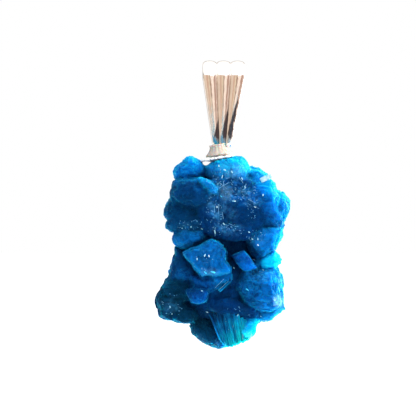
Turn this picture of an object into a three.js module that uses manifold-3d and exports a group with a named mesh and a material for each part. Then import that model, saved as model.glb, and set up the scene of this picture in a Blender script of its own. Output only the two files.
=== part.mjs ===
// A cavansite pendant: rosettes of blue crystal blades grown into one another, hung from a ribbed bail.
// Millimetres, +Z up, the front faces -Y. The origin is the middle of the bail's loop, where a chain passes.
import * as THREE from "three";
import { ConvexGeometry } from "three/addons/geometries/ConvexGeometry.js";
import { mergeVertices } from "three/addons/utils/BufferGeometryUtils.js";
import Module from "manifold-3d";

const wasm = await Module();
wasm.setup();

// The bail: a strip pressed into ribs, folded over so that it makes a loop, and tapered down to its foot.
const bailWidthTop = 5.2;
const bailWidthFoot = 2.1;
const bailFootDepth = 1.6;
const bailFootHeight = 1.3;
const bailFootZ = -8.75;
const bailOpeningRadius = 1.55;
const bailOpeningFoot = 0.2;
const bailLap = 0.05;
const ribCount = 3;
const ribSides = 10;
const ringSteps = 20;
const ribRingRadius = 1.7;
const ribHalfDepth = 0.4;
const bailFootRibDepth = 0.3;
const ribOverlap = 1.06;
const bailFootInset = 0.1;
const openingSegments = 10;

// The flared foot cap, and the stone's seat under it, both leaning with the stone's top.
const seatCentre = new THREE.Vector3(-0.3, -0.5, -10.3);
const seatLean = THREE.MathUtils.degToRad(-9);
const seatRadius = 2.3;
const capNeckRadius = 0.95;
const capRimRadius = 1.6;
const capHeight = 1.3;
const capLip = { out: 0.06, height: 0.12, back: 0.08, top: 0.3 };
const capFlare = { out: 0.28, height: 0.62 };
const capNeckTaper = { out: 0.04, drop: 0.25, top: 0.08 };
const glueThickness = 0.32;
const glueRadius = 1.92;
const glueWaves = [
  { height: 0.16, count: 3, shift: 0.6 },
  { height: 0.08, count: 7, shift: 0 },
];
const glueSteps = 28;
const seatCutHeight = 6;
const roundSides = 24;
const gap = 0.1;

// The cluster's crystals: how wide their ends are, and how many heights the ends of one rosette stand at,
// with the step from one height to the next as a share of its radius.
const frontCrystals = { pitch: 2.05, levels: 3 };
const backCrystals = { pitch: 2.6, levels: 2 };
const levelStep = 0.065;
const fewestEnds = 11;
const endReach = 0.94;
const endNudge = 0.9;
const backSeed = 100;

// The sheaves' blades: how far apart they stand, how much wider each one is, and how uneven they are.
const bladePitch = 0.75;
const bladeOverlap = 1.12;
const bladeUneven = { height: 0.14, depth: 0.16 };
const sheafSeed = 500;

const finishes = {
  cavansite: { color: 0x0a5fb4, roughness: 0.35, metalness: 0 },
  bailSilver: { color: 0xe2dcd4, roughness: 0.12, metalness: 1 },
  capSilver: { color: 0xe2dcd4, roughness: 0.15, metalness: 1 },
  glue: { color: 0xe8ecea, roughness: 0.3, metalness: 0 },
};

// Numbers from 0 to 1 that are the same on every run.
function seededRandom(seed) {
  let state = seed * 7919 + 17;
  return () => {
    state = (state + 0x6d2b79f5) | 0;
    let t = Math.imul(state ^ (state >>> 15), 1 | state);
    t = (t + Math.imul(t ^ (t >>> 7), 61 | t)) ^ t;
    return ((t ^ (t >>> 14)) >>> 0) / 4294967296;
  };
}

// A closed geometry, placed by a matrix, as a solid that can be joined and cut.
function solidOf(geometry, matrix = new THREE.Matrix4()) {
  const bare = new THREE.BufferGeometry();
  bare.setAttribute("position", geometry.getAttribute("position"));
  if (geometry.index) bare.setIndex(geometry.index);
  const merged = mergeVertices(bare.clone().applyMatrix4(matrix), 1e-4);
  return new wasm.Manifold(
    new wasm.Mesh({
      numProp: 3,
      vertProperties: merged.attributes.position.array,
      triVerts: new Uint32Array(merged.index.array),
    }),
  );
}

function geometryOf(solid) {
  const mesh = solid.getMesh();
  const geometry = new THREE.BufferGeometry();
  geometry.setAttribute("position", new THREE.BufferAttribute(mesh.vertProperties, 3));
  geometry.setIndex(new THREE.BufferAttribute(mesh.triVerts, 1));
  geometry.computeVertexNormals();
  return geometry;
}

function joined(solids) {
  return solids.reduce((whole, next) => whole.add(next));
}

// The outer body of a joined solid, with the pockets sealed inside it filled.
function outerBody(solid) {
  const bodies = solid.decompose().filter((body) => body.volume() > 0);
  return bodies.reduce((best, body) => (body.volume() > best.volume() ? body : best));
}

// Directions spread evenly over a ball, each nudged a little, the whole turned at random.
function spreadDirections(count, random) {
  const goldenTurn = Math.PI * (3 - Math.sqrt(5));
  const nudge = endNudge / Math.sqrt(count);
  const tumble = new THREE.Euler(2 * Math.PI * random(), 2 * Math.PI * random(), 0);
  return Array.from({ length: count }, (_, i) => {
    const z = 1 - (2 * i + 1) / count;
    const ring = Math.sqrt(1 - z * z);
    const around = i * goldenTurn;
    return new THREE.Vector3(
      ring * Math.cos(around) + nudge * (random() - 0.5),
      ring * Math.sin(around) + nudge * (random() - 0.5),
      z + nudge * (random() - 0.5),
    )
      .normalize()
      .applyEuler(tumble);
  });
}

// A ball of crystals seen from their ends, of radius about 1: each end is a flat face square to its own
// direction, at one of a few heights, with a ledge down to each neighbour that stands lower.
function crystalBall(count, levels, random) {
  const seeds = spreadDirections(count, random);
  const hull = mergeVertices(new ConvexGeometry(seeds).deleteAttribute("normal"), 1e-5);
  const seedAt = (i) => new THREE.Vector3().fromBufferAttribute(hull.attributes.position, i);
  const heights = Array.from({ length: count }, () => endReach - levelStep * Math.floor(levels * random()));
  const corners = [];
  const leftOfEdge = new Map();
  const index = hull.index.array;
  for (let i = 0; i < index.length; i += 3) {
    const trio = [index[i], index[i + 1], index[i + 2]];
    const [a, b, c] = trio.map(seedAt);
    const ray = b.clone().sub(a).cross(c.clone().sub(a)).normalize();
    trio.forEach((seed, k) => leftOfEdge.set(`${seed},${trio[(k + 1) % 3]}`, corners.length));
    corners.push({ trio, ray, reach: 1 / ray.dot(a) });
  }

  const positions = [];
  const faces = [];
  const vertexNumbers = new Map();
  const vertex = (corner, seed) => {
    const key = `${corner},${heights[seed]}`;
    if (!vertexNumbers.has(key)) {
      vertexNumbers.set(key, positions.length / 3);
      const { ray, reach } = corners[corner];
      positions.push(...ray.clone().multiplyScalar(reach * heights[seed]).toArray());
    }
    return vertexNumbers.get(key);
  };
  // The vertices on one corner's ray from the end of crystal a to that of crystal b, and the third crystal's
  // end where it lies between the two.
  const chain = (corner, a, b) => {
    const third = corners[corner].trio.find((seed) => seed !== a && seed !== b);
    const between = (heights[third] - heights[a]) * (heights[third] - heights[b]) < 0;
    const ends = heights[a] === heights[b] ? [a] : between ? [a, third, b] : [a, b];
    return ends.map((seed) => vertex(corner, seed));
  };

  for (const [edge, left] of leftOfEdge) {
    const [a, b] = edge.split(",").map(Number);
    if (a > b) continue;
    const near = chain(left, a, b);
    const far = chain(leftOfEdge.get(`${b},${a}`), a, b);
    let n = 0;
    let f = 0;
    while (n < near.length - 1 || f < far.length - 1) {
      const stepFar = f < far.length - 1 && (n === near.length - 1 || f <= n);
      faces.push(near[n], far[f], stepFar ? far[f + 1] : near[n + 1]);
      if (stepFar) f += 1;
      else n += 1;
    }
  }

  for (let seed = 0; seed < count; seed++) {
    const first = corners.findIndex(({ trio }) => trio.includes(seed));
    const ring = [];
    let corner = first;
    do {
      ring.push(vertex(corner, seed));
      const { trio } = corners[corner];
      const before = trio[(trio.indexOf(seed) + 2) % 3];
      corner = leftOfEdge.get(`${seed},${before}`);
    } while (corner !== first);
    for (let i = 1; i < ring.length - 1; i++) faces.push(ring[0], ring[i], ring[i + 1]);
  }
  const ball = new THREE.BufferGeometry();
  ball.setAttribute("position", new THREE.Float32BufferAttribute(positions, 3));
  ball.setIndex(faces);
  return ball;
}

// A rosette: crystals that spray from one heart, at its middle, with its half sizes in radii.
function rosette({ at, radii, turned = 0 }, { pitch, levels }, seed) {
  const random = seededRandom(seed);
  const meanRadius = (radii[0] + radii[1] + radii[2]) / 3;
  const count = Math.max(fewestEnds, Math.round((4 * Math.PI * meanRadius ** 2) / pitch ** 2));
  const place = new THREE.Matrix4().compose(
    new THREE.Vector3(...at),
    new THREE.Quaternion().setFromAxisAngle(new THREE.Vector3(0, 1, 0), THREE.MathUtils.degToRad(turned)),
    new THREE.Vector3(...radii),
  );
  return solidOf(crystalBall(count, levels, random), place);
}

// A sheaf: flat blades that stand side by side and run the same way, as in a broken rosette.
function sheaf({ at, size, turned, tipped }, index) {
  const random = seededRandom(sheafSeed + index);
  const bladeCount = Math.round(size[0] / bladePitch);
  const place = new THREE.Matrix4().compose(
    new THREE.Vector3(...at),
    new THREE.Quaternion().setFromEuler(
      new THREE.Euler(THREE.MathUtils.degToRad(tipped), THREE.MathUtils.degToRad(turned), 0),
    ),
    new THREE.Vector3(1, 1, 1),
  );
  const step = size[0] / bladeCount;
  const blades = Array.from({ length: bladeCount }, (_, i) => {
    const height = size[2] * (1 - bladeUneven.height * random());
    const depth = size[1] * (1 - bladeUneven.depth * random());
    const box = new THREE.BoxGeometry(step * bladeOverlap, depth, height);
    const shift = new THREE.Matrix4().makeTranslation(
      -size[0] / 2 + step * (i + 0.5),
      (size[1] - depth) / 2,
      (size[2] - height) * (random() - 0.5),
    );
    return solidOf(box, place.clone().multiply(shift));
  });
  return joined(blades);
}

// The rock that the rosettes grow from: a lumpy core, narrower at the waist.
const coreLumps = [
  { at: [0.2, 0.2, -15.6], radii: [5.2, 3.6, 4.9] },
  { at: [0.2, 0.3, -20.8], radii: [4.6, 2.9, 3.4] },
  { at: [0.0, 0.2, -26.2], radii: [5.4, 3.5, 4.8] },
];

const frontRosettes = [
  { at: [-3.85, -0.8, -12.1], radii: [2.15, 2.1, 1.95] }, // upper left knob
  { at: [-3.75, -2.4, -14.95], radii: [2.8, 2.7, 2.45] }, // left shoulder
  { at: [-1.75, -4.2, -13.6], radii: [1.4, 1.0, 0.95], turned: 32 }, // bright ridge on the shoulder
  { at: [-4.95, -1.2, -17.1], radii: [2.2, 2.3, 2.1] }, // left bulge
  { at: [-5.9, -0.6, -18.5], radii: [1.3, 1.4, 1.2] }, // bump under the left bulge
  { at: [-4.0, -2.4, -20.1], radii: [2.3, 2.1, 1.65] }, // lower left knob
  { at: [-0.9, -1.9, -12.9], radii: [2.0, 1.9, 1.9] }, // knob under the foot
  { at: [1.75, -1.2, -11.95], radii: [2.0, 2.2, 2.0] }, // upper right knob
  { at: [4.2, -1.2, -13.05], radii: [1.2, 1.3, 1.1] }, // small right bump
  { at: [5.5, -0.9, -14.0], radii: [1.3, 1.5, 1.3] }, // bump above the right knob
  { at: [6.0, -1.1, -15.95], radii: [2.4, 2.4, 2.3] }, // right knob
  { at: [4.1, -2.9, -14.8], radii: [2.2, 2.1, 2.1] }, // inner right knob
  { at: [5.25, -2.1, -20.0], radii: [2.35, 2.4, 2.45] }, // lower right knob
  { at: [-0.75, -3.7, -16.6], radii: [1.45, 1.9, 2.3] }, // left rim of the druse hollow
  { at: [1.6, -3.6, -14.35], radii: [2.0, 1.8, 1.3] }, // top rim of the druse hollow
  { at: [4.0, -3.6, -17.3], radii: [1.5, 1.9, 1.9] }, // right rim of the druse hollow
  { at: [1.3, -3.7, -19.4], radii: [2.3, 1.7, 1.15] }, // lower rim of the druse hollow
  { at: [-1.95, -4.1, -23.1], radii: [2.65, 2.0, 2.75], turned: 20 }, // front rosette
  { at: [-4.2, -1.3, -23.2], radii: [1.95, 1.9, 2.1] }, // left waist
  { at: [-4.85, -1.0, -25.9], radii: [2.25, 2.3, 2.1] }, // left flank
  { at: [-5.95, -0.6, -28.1], radii: [2.4, 2.3, 2.1] }, // left foot
  { at: [-4.0, -1.6, -29.3], radii: [2.0, 2.0, 1.55] }, // bump under the left foot
  { at: [-1.9, -2.6, -25.8], radii: [2.1, 1.5, 1.3] }, // ledge between the front rosettes
  { at: [0.1, -3.5, -25.7], radii: [1.35, 1.1, 1.0] }, // wedge that carries the fan
  { at: [-2.95, -3.7, -27.3], radii: [1.5, 1.5, 1.15] }, // small front rosette
  { at: [2.75, -3.6, -23.1], radii: [1.6, 1.7, 1.05], turned: 35 }, // small leaning block
  { at: [5.6, -1.8, -23.2], radii: [1.65, 1.6, 1.6] }, // right waist
  { at: [4.3, -2.5, -26.8], radii: [3.15, 2.8, 2.9] }, // big right rosette
  { at: [5.85, -1.0, -28.5], radii: [1.65, 1.8, 1.5] }, // right foot
  { at: [1.4, -2.6, -28.6], radii: [3.2, 1.5, 1.4] }, // dark ledge above the sheaf
  { at: [-1.9, -0.9, -30.7], radii: [2.05, 2.1, 2.1] }, // lower left cone
  { at: [-0.3, -1.2, -32.3], radii: [1.7, 1.7, 1.65] }, // lowest tip
  { at: [2.8, -1.6, -30.9], radii: [1.7, 1.9, 1.6] }, // pale end of the sheaf
];

const backRosettes = [
  { at: [-3.4, 2.2, -13.0], radii: [2.5, 2.4, 2.2] },
  { at: [0.2, 2.4, -12.4], radii: [2.3, 2.2, 1.9] },
  { at: [3.6, 2.1, -13.4], radii: [2.5, 2.3, 2.2] },
  { at: [-1.2, 3.6, -15.8], radii: [2.7, 2.3, 2.5] },
  { at: [2.4, 3.5, -16.6], radii: [2.4, 2.2, 2.3] },
  { at: [5.6, 1.6, -17.4], radii: [2.2, 2.3, 2.2] },
  { at: [-4.9, 1.9, -16.9], radii: [2.3, 2.3, 2.5] },
  { at: [-3.4, 2.5, -20.0], radii: [2.2, 2.3, 2.1] },
  { at: [0.4, 3.2, -19.7], radii: [2.3, 2.0, 2.0] },
  { at: [3.9, 2.3, -20.4], radii: [2.2, 2.2, 2.2] },
  { at: [-1.4, 3.1, -23.3], radii: [2.5, 2.3, 2.3] },
  { at: [2.6, 3.0, -24.0], radii: [2.5, 2.4, 2.5] },
  { at: [-4.7, 1.6, -24.4], radii: [2.1, 2.3, 2.3] },
  { at: [5.5, 1.3, -25.6], radii: [2.1, 2.2, 2.4] },
  { at: [-3.2, 2.8, -27.3], radii: [2.5, 2.5, 2.4] },
  { at: [0.7, 3.3, -27.6], radii: [2.4, 2.4, 2.3] },
  { at: [4.1, 2.2, -28.9], radii: [2.5, 2.3, 2.3] },
  { at: [0.4, 1.7, -30.6], radii: [2.4, 2.2, 2.2] },
];

const sheaves = [
  { at: [0.75, -2.6, -31.15], size: [3.7, 2.4, 3.7], turned: -13, tipped: 4 }, // bright block at the foot
  { at: [0.35, -4.3, -26.3], size: [0.75, 1.2, 2.8], turned: 50, tipped: 0 }, // fan
];

const paleCrystal = { at: [5.5, -1.6, -12.35], size: [1.35, 0.6, 0.6], turned: 28 };

// The leaning frame of the seat: its own Z is the way that the foot cap stands.
function seatFrame(lift = 0) {
  return new THREE.Matrix4()
    .makeTranslation(seatCentre.x, seatCentre.y, seatCentre.z)
    .multiply(new THREE.Matrix4().makeRotationY(seatLean))
    .multiply(new THREE.Matrix4().makeTranslation(0, 0, lift));
}

function clusterMesh() {
  const core = coreLumps.map(({ at, radii }) =>
    solidOf(
      new THREE.IcosahedronGeometry(1, 1),
      new THREE.Matrix4().makeTranslation(...at).multiply(new THREE.Matrix4().makeScale(...radii)),
    ),
  );
  const { at, size, turned } = paleCrystal;
  const pale = solidOf(
    new THREE.BoxGeometry(...size),
    new THREE.Matrix4()
      .makeTranslation(...at)
      .multiply(new THREE.Matrix4().makeRotationY(-THREE.MathUtils.degToRad(turned))),
  );
  const grown = joined([
    ...core,
    ...frontRosettes.map((each, i) => rosette(each, frontCrystals, i + 1)),
    ...backRosettes.map((each, i) => rosette(each, backCrystals, i + 1 + backSeed)),
    ...sheaves.map(sheaf),
    pale,
  ]);
  const aboveSeat = new THREE.CylinderGeometry(seatRadius, seatRadius, seatCutHeight, roundSides);
  const seated = grown.subtract(solidOf(aboveSeat.rotateX(Math.PI / 2), seatFrame(seatCutHeight / 2)));
  return namedMesh("cavansite_cluster", geometryOf(outerBody(seated)), finishes.cavansite);
}

// The outline of one rib where a level plane cuts it, as points around (x, y) at the height z.
function ribSection(x, y, z, halfWide, halfDeep) {
  return Array.from({ length: ribSides }, (_, i) => {
    const angle = ((i + 0.5) / ribSides) * 2 * Math.PI;
    return new THREE.Vector3(x + halfWide * Math.cos(angle), y + halfDeep * Math.sin(angle), z);
  });
}

// One rib: half a ring over the loop, and two legs that run down to the foot.
function ribSolids(across) {
  const halfWide = (ribOverlap * bailWidthTop) / (2 * ribCount);
  const ringPath = new THREE.EllipseCurve(ribRingRadius, 0, ribHalfDepth, halfWide).getPoints(ribSides);
  const ring = new THREE.LatheGeometry(ringPath, ringSteps).rotateZ(-Math.PI / 2);
  ring.translate(across * bailWidthTop, 0, 0);
  const reach = 2 * bailWidthTop;
  const upper = new THREE.BoxGeometry(2 * reach, 2 * reach, reach).translate(0, 0, reach / 2 - bailLap);
  const legs = [-1, 1].map((side) =>
    solidOf(
      new ConvexGeometry([
        ...ribSection(across * bailWidthTop, side * ribRingRadius, 0, halfWide, ribHalfDepth),
        ...ribSection(
          across * bailWidthFoot,
          side * (bailFootDepth / 2 - bailFootRibDepth),
          bailFootZ,
          (ribOverlap * bailWidthFoot) / (2 * ribCount),
          bailFootRibDepth,
        ),
      ]),
    ),
  );
  return [solidOf(ring).intersect(solidOf(upper)), ...legs];
}

// The bail: ribs side by side, with the loop's opening cut through them and a solid foot where the legs meet.
function bailMesh() {
  const ribs = Array.from({ length: ribCount }, (_, i) => ribSolids((i + 0.5) / ribCount - 0.5)).flat();
  const opening = new THREE.Shape();
  opening.absarc(0, 0, bailOpeningRadius, 0, Math.PI, false);
  opening.lineTo(-bailOpeningFoot, bailFootZ + bailFootHeight);
  opening.lineTo(bailOpeningFoot, bailFootZ + bailFootHeight);
  opening.closePath();
  const width = 2 * bailWidthTop;
  const through = new THREE.ExtrudeGeometry(opening, {
    depth: width,
    bevelEnabled: false,
    curveSegments: openingSegments,
  });
  const upright = new THREE.Matrix4().makeBasis(
    new THREE.Vector3(0, 1, 0),
    new THREE.Vector3(0, 0, 1),
    new THREE.Vector3(1, 0, 0),
  );
  const foot = new THREE.BoxGeometry(
    bailWidthFoot - 2 * bailFootInset,
    bailFootDepth - 3 * bailFootInset,
    bailFootHeight,
  );
  foot.translate(0, 0, bailFootZ + bailFootHeight / 2);
  const cut = solidOf(through.translate(0, 0, -width / 2), upright);
  const bail = joined(ribs).subtract(cut).add(solidOf(foot));
  return namedMesh("bail", geometryOf(bail), finishes.bailSilver);
}

// The flared foot cap, turned about its own upright axis.
function capMesh() {
  const profile = [
    new THREE.Vector2(0, 0),
    new THREE.Vector2(capRimRadius, 0),
    new THREE.Vector2(capRimRadius + capLip.out, capLip.height),
    new THREE.Vector2(capRimRadius - capLip.back, capLip.top),
    new THREE.Vector2(capNeckRadius + capFlare.out, capFlare.height),
    new THREE.Vector2(capNeckRadius + capNeckTaper.out, capHeight - capNeckTaper.drop),
    new THREE.Vector2(capNeckRadius - capNeckTaper.top, capHeight),
    new THREE.Vector2(0, capHeight),
  ];
  const turned = new THREE.LatheGeometry(profile, roundSides).rotateX(Math.PI / 2);
  const placed = solidOf(turned, seatFrame(glueThickness + 2 * gap));
  const reach = 2 * bailWidthTop;
  const aboveGap = new THREE.Matrix4().makeTranslation(0, 0, bailFootZ - gap + reach / 2);
  const clear = solidOf(new THREE.BoxGeometry(reach, reach, reach), aboveGap);
  return namedMesh("bell_cap", geometryOf(placed.subtract(clear)), finishes.capSilver);
}

// The dried glue: a flat bead with an uneven rim, between the seat and the cap.
function glueMesh() {
  const rim = Array.from({ length: glueSteps }, (_, i) => {
    const angle = (i / glueSteps) * 2 * Math.PI;
    const waves = glueWaves.map(({ height, count, shift }) => height * Math.sin(count * angle + shift));
    const radius = waves.reduce((sum, wave) => sum + wave, glueRadius);
    return new THREE.Vector2(radius * Math.cos(angle), radius * Math.sin(angle));
  });
  const bead = new THREE.ExtrudeGeometry(new THREE.Shape(rim), { depth: glueThickness, bevelEnabled: false });
  return namedMesh("glue_bead", geometryOf(solidOf(bead, seatFrame(gap))), finishes.glue);
}

function namedMesh(name, geometry, finish) {
  const mesh = new THREE.Mesh(geometry, new THREE.MeshStandardMaterial(finish));
  mesh.name = name;
  return mesh;
}

const pendant = new THREE.Group();
pendant.name = "cavansite_pendant";
pendant.add(clusterMesh(), bailMesh(), capMesh(), glueMesh());

export default pendant;
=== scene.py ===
import math
import random

import bmesh
import bpy
import numpy
from mathutils import Euler, Matrix, Vector, noise
from mathutils.bvhtree import BVHTree


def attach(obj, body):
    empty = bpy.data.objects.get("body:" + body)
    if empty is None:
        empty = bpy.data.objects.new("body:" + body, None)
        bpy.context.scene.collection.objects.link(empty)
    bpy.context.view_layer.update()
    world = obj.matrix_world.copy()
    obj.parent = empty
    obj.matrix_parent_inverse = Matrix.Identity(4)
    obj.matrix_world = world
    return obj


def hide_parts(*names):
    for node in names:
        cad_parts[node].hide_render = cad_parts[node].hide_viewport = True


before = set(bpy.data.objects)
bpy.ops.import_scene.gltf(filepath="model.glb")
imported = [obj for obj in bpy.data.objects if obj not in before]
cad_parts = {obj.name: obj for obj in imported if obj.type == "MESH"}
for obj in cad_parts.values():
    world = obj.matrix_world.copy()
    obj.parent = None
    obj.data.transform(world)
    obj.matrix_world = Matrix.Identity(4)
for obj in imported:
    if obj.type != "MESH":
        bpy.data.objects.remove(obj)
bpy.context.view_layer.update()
noise.seed_set(5)  # without a seed, noise_vector takes its offset from the clock
mm = 0.001


# selection helpers: every operator acts on what is selected, so it is always cleared first

def clearSelection():
    if bpy.context.mode != "OBJECT":
        bpy.ops.object.mode_set(mode="OBJECT")
    bpy.ops.object.select_all(action="DESELECT")


def choose(*pieces):  # the first one becomes active
    clearSelection()
    for piece in pieces:
        piece.select_set(True)
    bpy.context.view_layer.objects.active = pieces[0]


def startEditing(piece):
    choose(piece)
    bpy.ops.object.mode_set(mode="EDIT")
    bpy.ops.mesh.select_all(action="SELECT")


def pick(piece, wanted, kind="FACE"):  # in edit mode, selects the faces, edges or vertices that pass a test
    bpy.ops.mesh.select_mode(type=kind)
    bpy.ops.mesh.select_all(action="DESELECT")
    shape = bmesh.from_edit_mesh(piece.data)
    for part in {"FACE": shape.faces, "EDGE": shape.edges, "VERT": shape.verts}[kind]:
        if wanted(part):
            part.select_set(True)
    shape.select_flush_mode()
    bmesh.update_edit_mesh(piece.data)


def moveCorners(piece, places):  # in edit mode, each corner to its own place
    for number, place in enumerate(places):
        pick(piece, lambda v: v.index == number, "VERT")
        bpy.ops.transform.translate(value=place - piece.data.vertices[number].co)


def extrudeBy(move):
    bpy.ops.mesh.extrude_region_move(TRANSFORM_OT_translate={"value": move})


def settle(piece):  # leaves the piece at the origin, unturned and unscaled, with its place in its mesh
    choose(piece)
    bpy.ops.object.transform_apply(location=True, rotation=True, scale=True)
    return piece


def addShape(kind, **values):
    clearSelection()
    getattr(bpy.ops.mesh, "primitive_" + kind + "_add")(**values)
    return bpy.context.active_object


def smoothUnder(piece, degrees):  # edges sharper than this stay sharp
    choose(piece)
    bpy.ops.object.shade_smooth_by_angle(angle=math.radians(degrees))


def between(low, value, high):
    return max(low, min(high, value))


def joinPieces(name, pieces):
    choose(*pieces)
    if len(pieces) > 1:
        bpy.ops.object.join()
    whole = bpy.context.active_object
    whole.name = whole.data.name = name
    return settle(whole)


def applyModifier(piece, kind, **values):
    choose(piece)
    modifier = piece.modifiers.new(kind.title(), kind)
    for key, value in values.items():
        setattr(modifier, key, value)
    bpy.ops.object.modifier_apply(modifier=modifier.name)


def paint(piece, name, values):  # one number per vertex, or the same one everywhere
    layer = piece.data.attributes.get(name) or piece.data.attributes.new(name, "FLOAT", "POINT")
    count = len(piece.data.vertices)
    layer.data.foreach_set("value", values if isinstance(values, list) else [values] * count)


# shader maths: a wire is a socket that can be added to, multiplied and so on

class Wire:
    def __init__(self, tree, socket=None):
        self.tree = tree
        self.socket = socket

    def plug(self, target, value):
        if isinstance(value, Wire):
            self.tree.links.new(value.socket, target)
        elif hasattr(target.default_value, "__len__") and not hasattr(value, "__len__"):
            target.default_value = [value] * len(target.default_value)
        else:
            target.default_value = value

    def node(self, kind, settings=None, values=None, out=0):
        made = self.tree.nodes.new("ShaderNode" + kind)
        for key, value in (settings or {}).items():
            if key == "stops":
                while len(made.color_ramp.elements) < len(value):
                    made.color_ramp.elements.new(1.0)
                for element, (place, colour) in zip(made.color_ramp.elements, value):
                    element.position = place
                    element.color = (*colour, 1.0)
            else:
                setattr(made, key, value)
        for key, value in (values or {}).items():
            self.plug(made.inputs[key], value)
        return Wire(self.tree, made.outputs[out])

    def maths(self, operation, first, second):
        return self.node("Math", {"operation": operation}, {0: first, 1: second})

    def __add__(self, other):
        return self.maths("ADD", self, other)

    def __radd__(self, other):
        return self.maths("ADD", other, self)

    def __sub__(self, other):
        return self.maths("SUBTRACT", self, other)

    def __rsub__(self, other):
        return self.maths("SUBTRACT", other, self)

    def __mul__(self, other):
        return self.maths("MULTIPLY", self, other)

    def __truediv__(self, other):
        return self.maths("DIVIDE", self, other)

    def __pow__(self, other):
        return self.maths("POWER", self, other)

    def clamp(self):
        return self.node("Clamp", {}, {"Value": self, "Min": 0.0, "Max": 1.0})

    def attribute(self, name):
        return self.node("Attribute", {"attribute_name": name}, out=2)

    def blend(self, first, second):  # colours, mixed by this wire
        return self.node("Mix", {"data_type": "RGBA"}, {0: self, 6: first, 7: second}, out=2)


def newMaterial(name, constants):
    material = bpy.data.materials.new(name)
    material.use_nodes = True
    tree = material.node_tree
    shader = tree.nodes["Principled BSDF"]
    for key, value in constants.items():
        shader.inputs[key].default_value = value
    return material, Wire(tree), shader


def grain(wire, place, size, detail=3.0, roughness=0.55):  # noise with lumps of about this size, in metres
    return wire.node("TexNoise", {}, {
        "Vector": place, "Scale": 1 / size, "Detail": detail, "Roughness": roughness})


def dress(wire, shader, colour, roughness):
    wire.plug(shader.inputs["Base Color"], colour)
    wire.plug(shader.inputs["Roughness"], roughness)


def roughen(wire, shader, height, strength, distance):  # distance in mm
    bump = wire.node("Bump", {}, {"Strength": strength, "Distance": distance * mm, "Height": height})
    wire.plug(shader.inputs["Normal"], bump)


# camera, floor, lights

viewSettings = {
    "pixelsAcross": 416,
    "metresPerPixel": 0.125 * mm,
    "originPixel": (222.0, 77.3),
    "lens": 120.0,
    "sensor": 36.0,
}
photoMiddle = viewSettings["pixelsAcross"] / 2
photoAcross = viewSettings["pixelsAcross"] * viewSettings["metresPerPixel"]
cameraAway = photoAcross * viewSettings["lens"] / viewSettings["sensor"]


def pixelToPlace(column, row, depth=0):  # the place at this depth, in mm, under a pixel of the photograph
    s = viewSettings
    nearer = (cameraAway + depth * mm) / cameraAway
    x = (photoMiddle - s["originPixel"][0] + (column - photoMiddle) * nearer) * s["metresPerPixel"]
    z = (s["originPixel"][1] - photoMiddle + (photoMiddle - row) * nearer) * s["metresPerPixel"]
    return Vector((x, depth * mm, z))


def placeToPixel(place):
    s = viewSettings
    nearer = (cameraAway + place.y) / cameraAway
    column = (place.x / s["metresPerPixel"] - photoMiddle + s["originPixel"][0]) / nearer + photoMiddle
    row = photoMiddle - (place.z / s["metresPerPixel"] - s["originPixel"][1] + photoMiddle) / nearer
    return column, row


def makeCamera(s):
    bpy.ops.object.camera_add()
    camera = bpy.context.active_object
    camera.name = "photoCamera"
    camera.data.lens = s["lens"]
    camera.data.sensor_width = s["sensor"]
    x = (photoMiddle - s["originPixel"][0]) * s["metresPerPixel"]
    z = (s["originPixel"][1] - photoMiddle) * s["metresPerPixel"]
    camera.location = (x, -cameraAway, z)
    camera.rotation_euler = (math.radians(90), 0, 0)
    camera.data.clip_start = 0.005
    camera.data.clip_end = 5
    bpy.context.scene.camera = camera


lightSettings = {  # where the light comes from, its distance and size in metres, watts, colour
    "keyRight": {"towards": (0.93, 0.05, 0.42), "away": 0.16, "size": 0.10, "power": 0.42},
    "rimBehind": {"towards": (0.75, 0.62, 0.20), "away": 0.16, "size": 0.10, "power": 0.38,
                  "colour": (0.95, 0.99, 1.0)},
    "topSoft": {"towards": (0.1, -0.25, 1.0), "away": 0.18, "size": 0.12, "power": 0.34},
    "frontFill": {"towards": (0.35, -0.9, 0.35), "away": 0.22, "size": 0.14, "power": 0.26},
}
worldSettings = {"toCamera": 1.0, "toObject": 0.42, "middle": -18 * mm}


def makeLights(lights, world):
    middle = Vector((0, 0, world["middle"]))
    for name, s in lights.items():
        towards = Vector(s["towards"]).normalized()
        bpy.ops.object.light_add(type="AREA", location=middle + towards * s["away"])
        lamp = bpy.context.active_object
        lamp.name = name
        lamp.rotation_euler = (-towards).to_track_quat("-Z", "Y").to_euler()
        lamp.data.size = s["size"]
        lamp.data.energy = s["power"]
        lamp.data.color = s.get("colour", (1, 1, 1))
    scene = bpy.context.scene
    scene.world = scene.world or bpy.data.worlds.new("studio")
    scene.world.use_nodes = True
    tree = scene.world.node_tree
    wire = Wire(tree)
    seen = wire.node("LightPath")
    strength = seen * (world["toCamera"] - world["toObject"]) + world["toObject"]
    sky = tree.nodes["Background"]
    sky.inputs["Color"].default_value = (1, 1, 1, 1)
    wire.plug(sky.inputs["Strength"], strength)
    scene.view_settings.view_transform = "Standard"


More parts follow.
